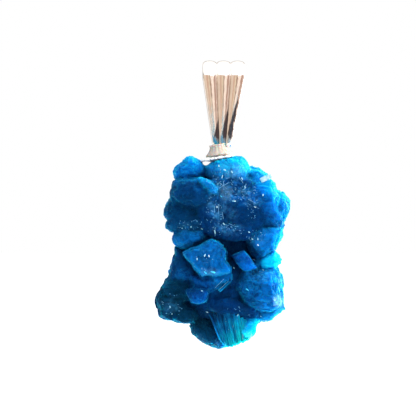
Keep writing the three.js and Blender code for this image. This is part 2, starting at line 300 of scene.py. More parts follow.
cardSettings = {  # glowing cards that only shiny surfaces see: corners in mm, and colour
    "tanCard": ([(-160, -20, 19), (-62, -105, 14), (-62, -105, -39.5), (-160, -20, -41)],
        (0.82, 0.66, 0.53)),
    "rustCard": ([(-62, -105, 22), (-34, -129, 12), (-34, -129, -39.5), (-62, -105, -39.5)],
        (0.68, 0.45, 0.34)),
    "sandCard": ([(-34, -129, 17), (-10, -150, 12), (-10, -150, -39.5), (-34, -129, -39.5)],
        (0.84, 0.70, 0.52)),
    "lineCard": ([(-11, -151, 9), (17, -151, 15), (17, -151, -40), (-11, -151, -40)], (0.42, 0.26, 0.19)),
    "paleCard": ([(18, -150, 9), (74, -135, 13), (74, -135, -60), (18, -150, -60)], (1.05, 0.88, 0.76)),
    "brownCard": ([(75, -134, 13), (150, -95, 16), (150, -95, -70), (75, -134, -60)], (0.52, 0.32, 0.25)),
    "sideCard": ([(151, -94, 15), (190, 60, 15), (190, 60, -70), (151, -94, -60)], (0.86, 0.70, 0.62)),
    "blueCard": ([(-160, -18, -41), (-10, -148, -39.5), (77, -120, -41), (77, -120, -47),
                  (-10, -148, -44.5), (-160, -18, -45)], (0.14, 0.42, 0.58)),
    "footCard": ([(-160, -20, -45), (-10, -150, -44.5), (64, -129, -46), (64, -129, -80), (-160, -20, -80)],
        (0.90, 0.87, 0.78)),
    "ceilingCard": ([(-170, -152, 15.5), (170, -152, 15.5), (170, 150, 130), (-170, 150, 130)],
        (1.3, 1.3, 1.3)),
    "backCard": ([(-200, 150, 80), (200, 150, 80), (200, 150, -8), (-200, 150, -8)], (1.0, 0.97, 0.93)),
}
floorSettings = {"height": -62 * mm, "size": 2.4, "colour": (0.93, 0.93, 0.93), "glow": 0.8}


def makeStage(cards, floor):
    ground = addShape("plane", size=floor["size"], location=(0, 0, floor["height"]))
    ground.name = "floor"
    ground.data.materials.append(newMaterial("palePaper", {
        "Roughness": 0.8, "Specular IOR Level": 0.2, "Base Color": (*floor["colour"], 1),
        "Emission Color": (1, 1, 1, 1), "Emission Strength": floor["glow"]})[0])
    for name, (corners, colour) in cards.items():
        card = addShape("circle", vertices=len(corners), radius=0.01, fill_type="NGON")
        card.name = name
        startEditing(card)
        moveCorners(card, [Vector(corner) * mm for corner in corners])
        bpy.ops.object.mode_set(mode="OBJECT")
        for ray in ("camera", "diffuse", "shadow", "transmission"):
            setattr(card, "visible_" + ray, False)
        card.data.materials.append(newMaterial(name + "Paper", {
            "Roughness": 0.9, "Specular IOR Level": 0.0, "Base Color": (0, 0, 0, 1),
            "Emission Color": (*colour, 1), "Emission Strength": 1})[0])


makeCamera(viewSettings)
makeLights(lightSettings, worldSettings)
makeStage(cardSettings, floorSettings)
print("camera, lights and floor are up")


# the cavansite: rosettes of blades, grown from outlines at the front and from balls behind

crystalSettings = {
    "ball": {"subdivisions": 3, "swell": 1.06, "jitter": 0.07},
    "flats": (5, 8),          # flats cut on a ball
    "flatAt": (0.78, 0.94),   # how far out they lie, of the radius
    # share of the depth forward, share of the outline
    "round": [(0.0, 1.0), (0.38, 0.93), (0.76, 0.74), (1.0, 0.42)],
    "block": [(0.0, 1.0), (0.60, 0.95), (0.90, 0.86), (1.0, 0.70)],
    "plateBack": 0.66,        # share of its outline that a plate has at the back
    "plateJitter": 0.16,      # mm
    "grid": 0.20,             # mm between points of the grown-together surface
    "keep": 0.30,             # share of its facets kept, which leaves flats of several sizes
    "lumps": [  # kind of noise, size and height of its lumps in mm
        ("CELL_NOISE", 1.20, 0.30),
        ("CELL_NOISE", 0.50, 0.14),
        ("BLENDER_ORIGINAL", 0.45, 0.12),
    ],
    "ruffle": 0.03,           # mm, blades out of line
    "bladeShare": 0.40,
    "steps": [0.008, 0.016, 0.03, 0.05, 0.07],  # how far blade ends stand out, mm
    "taper": 0.022,           # mm
    "tip": (0.035, 0.016),    # second inset, mm: how far in, how far up
    "bunch": 1.1,             # bunches of blades to the millimetre
    "sharpest": 0.6,          # faces with a corner under this angle get no blade
    "shadeReach": 2.6,        # mm, how far away a crystal still darkens a hollow
    "shadeDepth": 0.66,
    "smoothUnder": 12,        # degrees
    "waist": -21,             # mm, height that parts the upper rosettes from the lower ones
    "shadeLift": 0.12,        # mm, how far above the surface the looking round starts
    "shadeGraze": 0.15,       # ways flatter to the surface than this are left out
    "strays": (0.0, 0.3, 0.6, 0.9),  # mm, a few places nearby, so that neighbours fade into one another
    "strayScale": 1.4,
    "rearTone": 0.46,         # what the tones of the front fade to at the back
    "rearFrom": -0.6,         # mm, where that starts
    "rearOver": 2,            # mm, how far it takes
    "rearShare": 0.85,
    "washEdge": 1.5,          # how far past its reach a wash fades out, as a square
    "washFrom": -0.3,         # mm, where the washes of the front start
    "washOver": 1.3,          # mm, from there to their full strength
    "washTurn": 0.3,          # surfaces turned further back than this get none
    "combScale": 0.6,         # the direction in which blades lie turns slowly with place
    "combStray": 0.3,
    "darkest": 0.05,          # no blade ends where it is darker
    "middleStep": 1.7,
    "bunchSpread": 2.4,       # how much the height differs from bunch to bunch
    "bunchStray": 1.1,        # and from blade to blade
    # the rise numbers below are painted shade: darker between the blades, lighter on the raised ends
    "lowRise": 0.15,          # what the material is told of the ground between blades
    "firstRise": 0.40,        # of the lowest ends
    "riseStep": 0.15,         # and of each step above
}


def plateOf(tone, depths, outline, **more):
    y, front, back = depths
    return {"tone": tone, "y": y, "front": front, "back": back, "outline": outline, **more}


def ballAt(middle, radii, tone):
    return {"at": middle, "radii": radii, "tone": tone}


# tone 0 is the darkest navy and 1 pale cyan, partly the stone's own colour and partly painted light and
# shade; depths in mm:
# where the outline lies, how far the body goes forward of it and back; slope: painted light, how much paler
# it gets to the right and upwards, per mm; outlines in pixels
plates = [
    plateOf(0.56, (-0.6, 2.0, 2.0), teal=0.3, slope=(-0.02, 0.05), outline=[  # upper left knob
        (173, 172), (175, 167), (181, 163), (187, 158), (192, 156.5), (197, 158), (201, 162), (206, 166),
        (208, 172), (203, 179), (193, 182), (183, 181), (175, 180)]),
    plateOf(0.215, (-1.6, 2.8, 2.6), teal=0.3, slope=(0.02, 0.05), outline=[  # left shoulder
        (173, 181), (183, 178), (200, 178), (211, 183), (217, 190), (217, 197), (212, 205), (198, 210),
        (183, 208), (171, 202), (169.5, 193), (171, 188)]),
    plateOf(0.52, (-3.9, 1.0, 1.4), teal=1, outline=[  # ridge
        (197, 178), (206, 178), (213, 182), (219, 189), (217, 194), (211, 193), (203, 187)]),
    plateOf(0.23, (-1.0, 2.4, 2.4), teal=0.5, outline=[  # left bulge
        (170, 199), (184, 200), (199, 205), (210, 213), (212, 224), (205, 234), (190, 234), (177, 232),
        (169, 231), (165, 227), (167, 221), (164, 217), (163, 212), (166, 207)]),
    plateOf(0.38, (-1.6, 2.2, 2.4), teal=0.5, outline=[  # lower left knob
        (171.5, 239), (173, 234), (181, 228), (192, 227), (202, 230), (208, 236), (203, 242), (195, 248),
        (184, 249), (176, 246)]),
    plateOf(0.57, (-1.3, 2.1, 2.4), teal=1, slope=(0.03, 0.03), outline=[  # top dome
        (204, 168), (212, 162), (221, 158.5), (230, 157), (239, 159), (247, 165), (250, 173), (247, 182),
        (238, 187), (226, 186), (214, 183), (206, 177)]),
    plateOf(0.62, (-0.8, 1.4, 1.6), teal=1, outline=[  # shoulder of the dome
        (248, 171), (256, 170), (262, 171.5), (265, 175), (264, 184), (255, 188), (248, 182)]),
    plateOf(0.42, (-1.4, 2.4, 2.4), teal=0.2, slope=(0.12, 0.07), outline=[  # right mass
        (244, 180), (256, 179), (264, 178.5), (270, 178), (275, 182), (277, 188), (281, 195), (283, 206),
        (282, 220), (277, 230), (266, 231), (256, 226), (250, 212), (244, 196)]),
    plateOf(0.27, (-2.6, 1.0, 2.6), profile="block", teal=0.1, outline=[  # druse
        (201, 186), (212, 178), (236, 176), (252, 180), (264, 192), (268, 210), (263, 228), (251, 236),
        (234, 239), (217, 237), (203, 233), (197, 216), (197, 199)]),
    plateOf(0.55, (-0.8, 2.0, 2.4), teal=0.8, slope=(0.04, 0.02), outline=[  # upper right knob
        (222, 163), (227, 158), (234, 155.5), (242, 157), (247, 162), (251, 169), (250, 176), (242, 180),
        (231, 178), (223, 171)]),
    plateOf(0.42, (-0.7, 2.4, 2.6), teal=0.7, slope=(0.08, 0.03), outline=[  # right knob
        (264, 194), (272, 187), (279, 190), (284.5, 194), (289.5, 200), (290, 209), (287, 216),
        (284, 221), (283, 229), (275, 232), (267, 226), (263, 212)]),
    plateOf(0.48, (-1.5, 2.5, 2.6), teal=0.5, slope=(0.06, 0.0), outline=[  # lower right knob
        (244, 237), (249, 229), (261, 225), (274, 225), (283, 229), (283.5, 236), (281, 240),
        (277.5, 244), (276, 250), (270, 254), (262, 260), (255, 259), (249, 252), (245, 245)]),
    plateOf(0.41, (-3.0, 2.3, 2.4), profile="block", teal=0.45, slope=(0.02, -0.02),
            outline=[  # front rosette
        (183, 252), (190, 248), (197, 247), (203, 243), (208, 239.5), (213, 238), (218, 240), (223, 245),
        (227, 250), (227.5, 261), (232, 268), (231, 273), (222, 274), (212, 275), (202, 277), (198, 272),
        (192, 265), (187, 258)]),
    plateOf(0.53, (-3.0, 1.6, 2.4), profile="block", outline=[  # leaning block
        (231, 256), (236, 253), (243, 249.5), (248, 255.5), (253, 262), (258, 268), (252, 270.5),
        (246.5, 273), (241, 267.5), (236, 262)]),
    plateOf(0.88, (-1.8, 1.7, 2.4), teal=0.4, slope=(0.03, 0.0), outline=[  # pale knob
        (255, 264), (258, 257), (265, 252), (274, 249.5), (277, 252), (280, 255), (281, 259), (280, 264),
        (276.5, 268), (270, 271), (261, 271)]),
    plateOf(0.39, (-1.9, 3.1, 3.0), teal=0.4, slope=(0.035, 0.0), outline=[  # big right rosette
        (233, 288), (234, 278), (238, 270), (250, 270), (262, 268), (272, 267), (279, 270), (281.5, 278),
        (282.5, 290), (284, 302), (283, 309), (275, 314), (264, 313), (252, 311), (241, 304)]),
    plateOf(0.46, (-1.0, 2.4, 2.4), teal=1, slope=(0.06, -0.04), outline=[  # its lower lobe
        (253, 308), (266, 302), (282, 303), (284, 307), (281, 311), (275, 316), (271, 320), (264, 322),
        (257, 321), (251, 316)]),
    plateOf(0.27, (-1.1, 1.9, 2.4), teal=0.4, outline=[  # left waist
        (175, 246), (185, 249), (192, 258), (199, 272), (197, 284), (186, 288), (174, 284), (167.5, 279),
        (170, 270), (172.5, 260), (173.5, 252)]),
    plateOf(0.13, (-1.0, 2.2, 2.6), teal=1, outline=[  # left flank
        (168, 277), (178, 276), (192, 281), (197, 292), (190, 301), (177, 304), (165, 301), (159, 294),
        (161, 288), (165, 281)]),
    plateOf(0.11, (-0.8, 2.3, 2.4), teal=1, outline=[  # left foot
        (155.5, 301), (157, 294), (160, 289), (170, 288), (181, 293), (187, 302), (185, 313), (176, 318),
        (167, 319.5), (163, 318), (158, 316), (158, 309)]),
    plateOf(0.11, (-1.2, 1.9, 2.4), teal=1, outline=[  # left base
        (166, 307), (181, 300), (193, 304), (199, 313), (196, 322), (188, 323.5), (180, 323), (172, 321),
        (164, 319)]),
    plateOf(0.31, (-3.4, 1.5, 2.4), slope=(0.0, -0.04), outline=[  # small front rosette
        (186, 291), (190, 288.5), (197, 287), (205, 288), (209.5, 291), (208, 297), (206, 302.5), (197, 304),
        (191, 302), (188, 297)]),
    plateOf(0.36, (-2.6, 1.3, 2.4), outline=[  # between the front rosettes
        (190, 277), (200, 276), (212, 274), (222, 274), (223, 286), (213, 293), (200, 292), (190, 288)]),
    plateOf(0.42, (-3.4, 1.0, 2.0), teal=0.6, outline=[  # teal wedge
        (211, 277), (221, 273), (230, 273), (234, 276), (229, 284), (219, 289), (213, 290)]),
    plateOf(0.23, (-2.4, 1.6, 2.4), outline=[  # dark mass above the sheaf
        (207, 296), (222, 295), (236, 297), (250, 303), (263, 309), (263, 317), (246, 319), (229, 316),
        (213, 315), (204, 308)]),
    plateOf(0.21, (-0.9, 1.9, 2.4), teal=1, slope=(-0.03, 0.0), outline=[  # lower left cone
        (190, 323), (199, 316), (212, 315), (220, 326), (226, 341), (222.5, 348.5), (216, 347.5),
        (209.5, 346), (200, 340), (191, 332)]),
    plateOf(0.72, (-1.6, 1.5, 2.4), teal=1, slope=(0.08, 0.0), outline=[  # behind the sheaf
        (213, 313), (224, 309), (236, 311), (247, 317), (258, 319), (256, 327), (254, 333), (249, 339),
        (238, 343), (228, 347), (221, 348.5), (217, 334)]),
    plateOf(0.97, (-2.6, 1.3, 1.8), profile="block", teal=0.8, outline=[  # pale end of the sheaf
        (242, 322), (248, 318.5), (256, 317.5), (259.5, 320), (256, 326), (255, 332), (250, 338), (245, 339),
        (241, 332)]),
]

# the rest are balls: middle and radii in mm, and tone
frontRosettes = [
    ballAt((-1.2, -2.8, -17.0), (1.3, 1.2, 2.6), 0.28),  # the rims of the druse hollow
    ballAt((2.6, -2.9, -15.0), (2.6, 1.2, 1.1), 0.34),
    ballAt((1.1, -2.8, -19.3), (2.9, 1.3, 1.1), 0.27),
]
backRosettes = [
    ballAt((-3.4, 2.2, -13.0), (2.5, 2.4, 2.2), 0.5),
    ballAt((0.2, 2.4, -12.4), (2.3, 2.2, 1.9), 0.44),
    ballAt((3.6, 2.1, -13.4), (2.5, 2.3, 2.2), 0.6),
    ballAt((-1.2, 3.6, -15.8), (2.7, 2.3, 2.5), 0.4),
    ballAt((2.4, 3.5, -16.6), (2.4, 2.2, 2.3), 0.52),
    ballAt((5.6, 1.6, -17.4), (2.2, 2.3, 2.2), 0.64),
    ballAt((-4.9, 1.9, -16.9), (2.3, 2.3, 2.5), 0.34),
    ballAt((-3.4, 2.5, -20.0), (2.2, 2.3, 2.1), 0.42),
    ballAt((0.4, 3.2, -19.7), (2.3, 2.0, 2.0), 0.36),
    ballAt((3.9, 2.3, -20.4), (2.2, 2.2, 2.2), 0.5),
    ballAt((-1.4, 3.1, -23.3), (2.5, 2.3, 2.3), 0.55),
    ballAt((2.6, 3.0, -24.0), (2.5, 2.4, 2.5), 0.46),
    ballAt((-4.7, 1.6, -24.4), (2.1, 2.3, 2.3), 0.35),
    ballAt((5.5, 1.3, -25.6), (2.1, 2.2, 2.4), 0.6),
    ballAt((-3.2, 2.8, -27.3), (2.5, 2.5, 2.4), 0.4),
    ballAt((0.7, 3.3, -27.6), (2.4, 2.4, 2.3), 0.5),
    ballAt((4.1, 2.2, -28.9), (2.5, 2.3, 2.3), 0.56),
    ballAt((0.4, 1.7, -30.6), (2.4, 2.2, 2.2), 0.45),
]
coreLumps = [
    ballAt((0.2, 0.2, -15.6), (5.2, 3.5, 4.8), 0.2),
    ballAt((0.2, 0.3, -20.8), (4.6, 2.9, 3.4), 0.16),
    ballAt((0.0, 0.2, -26.2), (5.4, 3.5, 4.8), 0.16),
]
# soft patches on the front: column and row of the middle, reach across and down in pixels, how strong
washes = {
    "frost": [
        (216, 207, 9, 15, 0.9), (231, 215, 8, 6, 0.6), (253, 201, 9, 6, 0.9), (227, 229, 16, 6, 0.9),
        (224, 172, 14, 9, 0.5), (222, 184, 9, 6, 0.9), (240, 180, 12, 9, 0.6), (240, 195, 14, 7, 0.9),
        (190, 227, 12, 5, 0.4), (226, 202, 9, 9, 0.5), (262, 275, 10, 8, 0.4), (165, 278, 4, 9, 0.5),
        (171, 306, 8, 8, 0.35), (258, 240, 8, 6, 0.4), (205, 256, 10, 8, 0.35), (213, 313, 8, 4, 0.5),
        (219, 333, 5, 12, 0.5), (239, 332, 9, 8, 0.4)],
    "cloud": [
        (278, 301, 4, 6, 0.55), (231, 174, 6, 4, 0.25), (205, 272, 4, 2.5, 0.12), (213, 272, 5, 2.5, 0.12),
        (251, 336, 3.5, 2.5, 0.5), (226, 193, 6, 7, 0.2), (238, 170, 8, 6, 0.12)],
}
# painted shade for the dark places between the rosettes: middle and reach in mm, and how dark
paintedShadeHollows = [
    ((0.7, -3.9, -17.3), 1.1, 0.45),
    ((3.2, -3.7, -17.8), 1.5, 0.45),
    ((1.4, -3.0, -21.3), 2.3, 0.85),
    ((-2.5, -2.5, -30.2), 1.9, 0.9),
    ((2.3, -4.4, -29.3), 1.8, 0.6),
    ((-4.9, -2.6, -26.6), 1.7, 0.55),
    ((-4.4, -4.2, -16.4), 1.9, 0.4),
    ((5.4, -3.8, -17.0), 1.5, 0.3),
]


def lumpTexture(basis, size):
    name = basis + str(size)
    texture = bpy.data.textures.get(name) or bpy.data.textures.new(name, "CLOUDS")
    texture.noise_basis = basis
    texture.noise_scale = size * mm
    texture.noise_depth = 1
    return texture


def growBall(spec, index, s):  # a ball with flats cut on it
    dice = random.Random(index + 1)
    middle = Vector(spec["at"]) * mm
    radii = Vector(spec["radii"])
    ball = addShape("ico_sphere", subdivisions=s["ball"]["subdivisions"], radius=s["ball"]["swell"],
                    location=middle)
    ball.scale = radii * mm
    settle(ball)
    startEditing(ball)
    bpy.ops.transform.vertex_random(offset=s["ball"]["jitter"] * min(radii) * mm, seed=index + 1)
    for _ in range(dice.randint(*s["flats"])):
        away = Vector([dice.gauss(0, 1) for _ in range(3)]).normalized()
        far = dice.uniform(*s["flatAt"])
        place = middle + Vector([far * a * r for a, r in zip(away, radii)]) * mm
        facing = Vector([a / r for a, r in zip(away, radii)]).normalized()
        bpy.ops.mesh.select_all(action="SELECT")
        bpy.ops.mesh.bisect(plane_co=place, plane_no=facing, use_fill=True, clear_outer=True)
    bpy.ops.object.mode_set(mode="OBJECT")
    return ball


def growPlate(spec, index, s):  # an outline, drawn towards the front in ever smaller steps
    corners = [pixelToPlace(column, row, spec["y"]) for column, row in spec["outline"]]
    middle = sum(corners, Vector()) / len(corners)
    plate = settle(addShape("circle", vertices=len(corners), radius=mm, fill_type="NGON", location=middle,
                            rotation=(math.pi / 2, 0, 0)))
    startEditing(plate)
    moveCorners(plate, corners)
    bpy.ops.mesh.select_all(action="SELECT")
    bpy.ops.transform.translate(value=(0, spec["back"] * mm, 0))
    bpy.ops.transform.resize(value=(s["plateBack"], 1, s["plateBack"]), center_override=middle)
    fromShare, fromSize = -spec["back"] / spec["front"], s["plateBack"]
    for share, size in s[spec.get("profile", "round")]:
        extrudeBy((0, (fromShare - share) * spec["front"] * mm, 0))
        bpy.ops.transform.resize(value=(size / fromSize, 1, size / fromSize), center_override=middle)
        fromShare, fromSize = share, size
    bpy.ops.mesh.select_all(action="SELECT")
    bpy.ops.transform.vertex_random(offset=s["plateJitter"] * mm, seed=index + 1)
    bpy.ops.mesh.normals_make_consistent(inside=False)
    bpy.ops.object.mode_set(mode="OBJECT")
    return plate


def placesOf(piece):  # corners of a mesh in mm, one row each
    places = numpy.empty(len(piece.data.vertices) * 3)
    piece.data.vertices.foreach_get("co", places)
    return places.reshape(-1, 3) / mm


def surfaceTree(pieces):  # for finding what lies near or in the way, and which piece each of its facets is of
    corners = []
    facets = []
    owners = []
    for number, piece in enumerate(pieces):
        first = len(corners)
        corners.extend(v.co.copy() for v in piece.data.vertices)
        facets.extend([first + corner for corner in face.vertices] for face in piece.data.polygons)
        owners.extend([number] * len(piece.data.polygons))
    return BVHTree.FromPolygons(corners, facets), owners


def growTogether(name, bodies, s):  # one surface over a group of bodies
    whole = joinPieces(name, bodies)
    applyModifier(whole, "REMESH", mode="VOXEL", voxel_size=s["grid"] * mm, use_smooth_shade=False)
    for basis, size, height in s["lumps"]:
        applyModifier(whole, "DISPLACE", texture=lumpTexture(basis, size), texture_coords="LOCAL",
                      strength=height * mm, mid_level=0.5)
    applyModifier(whole, "DECIMATE", ratio=s["keep"])
    return whole


def paintTones(piece, tree, owners, specs, middles, s):  # each place takes the tone of the nearest body
    tones = []
    teals = []
    for v in piece.data.vertices:
        tone = teal = 0.0
        for stretch in s["strays"]:
            spot = v.co / mm * s["strayScale"] + Vector((stretch * 9, 0, 0))
            stray = noise.noise_vector(spot) * stretch * mm
            number = owners[tree.find_nearest(v.co + stray)[2]]
            # painted light: each body gets paler to the right and upwards
            right, up = specs[number].get("slope", (0, 0))
            off = (v.co - middles[number]) / mm
            tone += (specs[number]["tone"] + right * off.x + up * off.z) / len(s["strays"])
            teal += specs[number].get("teal", 0) / len(s["strays"])
        rear = between(0.0, (v.co.y / mm - s["rearFrom"]) / s["rearOver"], 1.0)
        tones.append(tone + (s["rearTone"] - tone) * rear * s["rearShare"])
        teals.append(teal)
    paint(piece, "tone", tones)
    paint(piece, "teal", teals)


def paintWashes(piece, s):  # fading out from the middle of each patch, on the front only
    for name, patches in washes.items():
        amounts = []
        for v in piece.data.vertices:
            column, row = placeToPixel(v.co)
            amount = 0.0
            if v.co.y < 0 and v.normal.y < s["washTurn"]:
                for middleColumn, middleRow, across, down, strong in patches:
                    away = ((column - middleColumn) / across) ** 2 + ((row - middleRow) / down) ** 2
                    amount = max(amount, strong * between(0.0, s["washEdge"] - away, 1.0))
            amounts.append(amount * between(0.0, (s["washFrom"] - v.co.y / mm) / s["washOver"], 1.0))
        paint(piece, name, amounts)


def paintShade(piece, tree, ways, s):  # how open each place is to the light around it
    reach = s["shadeReach"] * mm
    light = []
    for v in piece.data.vertices:
        start = v.co + v.normal * s["shadeLift"] * mm
        tried = blocked = 0
        for way in ways:
            if way.dot(v.normal) > s["shadeGraze"]:
                tried += 1
                hit = tree.ray_cast(start, way, reach)
                if hit[0] is not None:
                    blocked += 1 - hit[3] / reach
        openness = 1 - s["shadeDepth"] * blocked / max(1, tried)
        # painted shade: each listed place darkens the light attribute around it
        for middle, wide, depth in paintedShadeHollows:
            away = (v.co / mm - Vector(middle)).length / wide
            openness *= 1 - depth * math.exp(-away * away)
        light.append(max(0.0, openness))
    paint(piece, "light", light)


def mergeIntoBlades(piece, dice, s):  # in edit mode, joins facets two by two along one local direction
    shape = bmesh.from_edit_mesh(piece.data)
    lean = {}
    for edge in shape.edges:
        edge.select_set(False)
        middle = (edge.verts[0].co + edge.verts[1].co) / 2
        along = noise.noise_vector(middle / mm * s["combScale"]).normalized()
        across = (edge.verts[0].co - edge.verts[1].co).normalized()
        lean[edge] = abs(across.dot(along)) + dice.uniform(0, s["combStray"])
    used = set()
    for edge in sorted(lean, key=lean.get):
        faces = edge.link_faces
        if len(faces) == 2 and not used.intersection(faces) and dice.random() < s["bladeShare"]:
            used.update(faces)
            edge.select_set(True)
    bmesh.update_edit_mesh(piece.data)
    bpy.ops.mesh.select_mode(type="EDGE")
    bpy.ops.mesh.dissolve_edges(use_verts=False)


raisedStep = 101  # facets of a raised end are numbered from here, by height


def raiseBlades(piece, s):  # blade ends that stand out of the surface by different heights
    dice = random.Random(len(piece.name))
    startEditing(piece)
    bpy.ops.transform.vertex_random(offset=s["ruffle"] * mm, seed=3)
    mergeIntoBlades(piece, dice, s)
    shape = bmesh.from_edit_mesh(piece.data)
    light = shape.verts.layers.float["light"]
    step = shape.faces.layers.int.new("step")
    for face in shape.faces:
        seen = max(v[light] for v in face.verts) > s["darkest"]
        blunt = min(corner.calc_angle() for corner in face.loops) > s["sharpest"]
        if seen and blunt:
            bunched = noise.noise(face.calc_center_median() / mm * s["bunch"]) * s["bunchSpread"] + (
                dice.uniform(-s["bunchStray"], s["bunchStray"]))
            face[step] = 1 + between(0, round(s["middleStep"] + bunched), len(s["steps"]) - 1)
    bmesh.update_edit_mesh(piece.data)
    for level, height in enumerate(s["steps"]):
        step = bmesh.from_edit_mesh(piece.data).faces.layers.int["step"]
        pick(piece, lambda face: face[step] == level + 1)
        for inward, upward in ((s["taper"], height), s["tip"]):
            bpy.ops.mesh.inset(thickness=inward * mm, depth=upward * mm, use_individual=True,
                               use_even_offset=False)
        shape = bmesh.from_edit_mesh(piece.data)
        step = shape.faces.layers.int["step"]
        for face in shape.faces:
            if face.select:
                face[step] = level + raisedStep
    bpy.ops.object.mode_set(mode="OBJECT")


def paintRise(piece, s):  # painted shade: low between the blades, up to 1 on the highest ends
    count = len(piece.data.polygons)
    steps = numpy.empty(count, dtype=numpy.int32)
    piece.data.attributes["step"].data.foreach_get("value", steps)
    sizes = numpy.empty(count, dtype=numpy.int32)
    piece.data.polygons.foreach_get("loop_total", sizes)
    corners = numpy.empty(len(piece.data.loops), dtype=numpy.int32)
    piece.data.loops.foreach_get("vertex_index", corners)
    rise = numpy.full(len(piece.data.vertices), s["lowRise"])
    raised = s["firstRise"] + s["riseStep"] * (steps - raisedStep)
    heights = numpy.where(steps >= raisedStep, raised, s["lowRise"])
    numpy.maximum.at(rise, corners, numpy.repeat(heights, sizes))
    paint(piece, "rise", rise.tolist())
    piece.data.attributes.remove(piece.data.attributes["step"])


crystalLook = {
    "tealStops": [
        (0.00, (0.0008, 0.014, 0.036)),
        (0.25, (0.0012, 0.042, 0.112)),
        (0.50, (0.0020, 0.130, 0.365)),
        (0.75, (0.0022, 0.330, 0.590)),
        (1.00, (0.0035, 0.540, 0.670)),
    ],
    "stops": [
        (0.00, (0.0006, 0.008, 0.035)),
        (0.25, (0.0010, 0.030, 0.130)),
        (0.50, (0.0015, 0.110, 0.420)),
        (0.75, (0.0018, 0.300, 0.650)),
        (1.00, (0.0030, 0.520, 0.700)),
    ],
    "frost": (0.035, 0.22, 0.45),
    "cloud": (0.26, 0.62, 0.75),
    "mottle": 0.9 * mm,
    "broad": 2.4 * mm,
    "fleck": 0.16 * mm,
    "chunk": 0.7 * mm,
    "spot": 0.45 * mm,
    "needle": 0.12 * mm,
    "net": 0.55 * mm,
    "veil": 0.9 * mm,
    "netStray": 0.6 * mm,
    "constants": {
        "Subsurface Weight": 0.75,
        "Subsurface Radius": (0.10, 0.65, 1.0),
        "Subsurface Scale": 2.2 * mm,
        "Subsurface Anisotropy": 0.3,
        "IOR": 1.25,
        "Specular IOR Level": 0.05,
        "Specular Tint": (0.02, 0.35, 0.8, 1.0),
    },
}


def crystalMaterial(name, s):
    material, wire, shader = newMaterial(name, s["constants"])
    place = wire.node("TexCoord", out=3)
    tone = wire.attribute("tone")
    rise = wire.attribute("rise")
    light = wire.attribute("light")
    mottle = grain(wire, place, s["mottle"])
    fleck = grain(wire, place, s["fleck"], 2.0)
    chunk = wire.node("TexVoronoi", {}, {"Vector": place, "Scale": 1 / s["chunk"]}, out=1)
    chunky = wire.node("SeparateColor", {}, {0: chunk})
    frosted = wire.attribute("frost")
    clouded = wire.attribute("cloud")
    broad = grain(wire, place, s["broad"], 1.0)
    spots = (grain(wire, place, s["spot"], 1.0) - 0.5) * (0.08 + frosted * 0.55)
    # the rise term is painted shade, lighter on the raised blade ends
    level = tone + (rise - 0.5) * 0.08 + (mottle - 0.5) * 0.22 + (broad - 0.5) * 0.34
    level = level + (fleck - 0.5) * 0.05 + ((chunky - 0.5) * 0.10 + spots)
    teal = wire.attribute("teal")
    # painted shade: the light attribute darkens the colour in creases and at the listed places
    lit = (level * light).clamp()
    royal = wire.node("ValToRGB", {"stops": s["stops"]}, {0: lit})
    blue = teal.blend(royal, wire.node("ValToRGB", {"stops": s["tealStops"]}, {0: lit}))
    needles = grain(wire, place, s["needle"], 2.0, 0.7)
    strewn = wire.node("VectorMath", {"operation": "ADD"}, {0: place, 1: wire.node(
        "TexNoise", {}, {"Vector": place, "Scale": 1 / s["mottle"]}, out=1) * s["netStray"]})
    net = wire.node("TexVoronoi", {"feature": "DISTANCE_TO_EDGE"}, {"Vector": strewn, "Scale": 1 / s["net"]})
    veil = ((grain(wire, strewn, s["veil"], 2.0) - 0.42) * 3.0).clamp()
    rime = (1 - net * 4.0).clamp() * 0.22 + ((needles - 0.45) * 3.0).clamp() * 0.3 + veil * 0.6
    rimed = (frosted * rime * ((mottle - 0.3) * 3.0).clamp()).clamp().blend(blue, (*s["frost"], 1))
    milky = (clouded * (0.6 + (needles - 0.5) * 1.4)).clamp().blend(rimed, (*s["cloud"], 1))
    dress(wire, shader, milky, 0.30 + fleck * 0.35)
    roughen(wire, shader, fleck, 0.12, 0.05)
    return material


def makeCluster(s):
    specs = plates + frontRosettes + backRosettes + coreLumps
    bodies = []
    middles = []
    for index, spec in enumerate(specs):
        bodies.append(growPlate(spec, index, s) if "outline" in spec else growBall(spec, index, s))
        places = placesOf(bodies[-1])
        middles.append(Vector((places.min(axis=0) + places.max(axis=0)) / 2) * mm)
    bodyTree, owners = surfaceTree(bodies)
    groups = {"rosettesUpper": [], "rosettesLower": [], "rosettesBack": [], "heart": []}
    for body, spec, middle in zip(bodies, specs, middles):
        if spec in coreLumps:
            groups["heart"].append(body)
        elif spec in backRosettes:
            groups["rosettesBack"].append(body)
        else:
            groups["rosettesUpper" if middle.z > s["waist"] * mm else "rosettesLower"].append(body)
    made = [growTogether(name, members, s) for name, members in groups.items()]
    print("bodies grown together")
    tree = surfaceTree(made)[0]
    ways = []
    for number in range(18):  # evenly round a sphere
        z = 1 - (number + 0.5) / 9
        out = math.sqrt(1 - z * z)
        ways.append(Vector((out * math.cos(number * 2.4), out * math.sin(number * 2.4), z)))
    crystal = crystalMaterial("cavansiteBlue", crystalLook)
    for whole in made:
        paintTones(whole, bodyTree, owners, specs, middles, s)
        paintShade(whole, tree, ways, s)
        paintWashes(whole, s)
        raiseBlades(whole, s)
        paintRise(whole, s)
        smoothUnder(whole, s["smoothUnder"])
        whole.data.materials.clear()
        whole.data.materials.append(crystal)
        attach(whole, "root")
        print(whole.name, len(whole.data.polygons), "faces")
    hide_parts("cavansite_cluster")
    return made


cluster = makeCluster(crystalSettings)
print("rosettes grown")


# sheaves: blades side by side, seen along their length

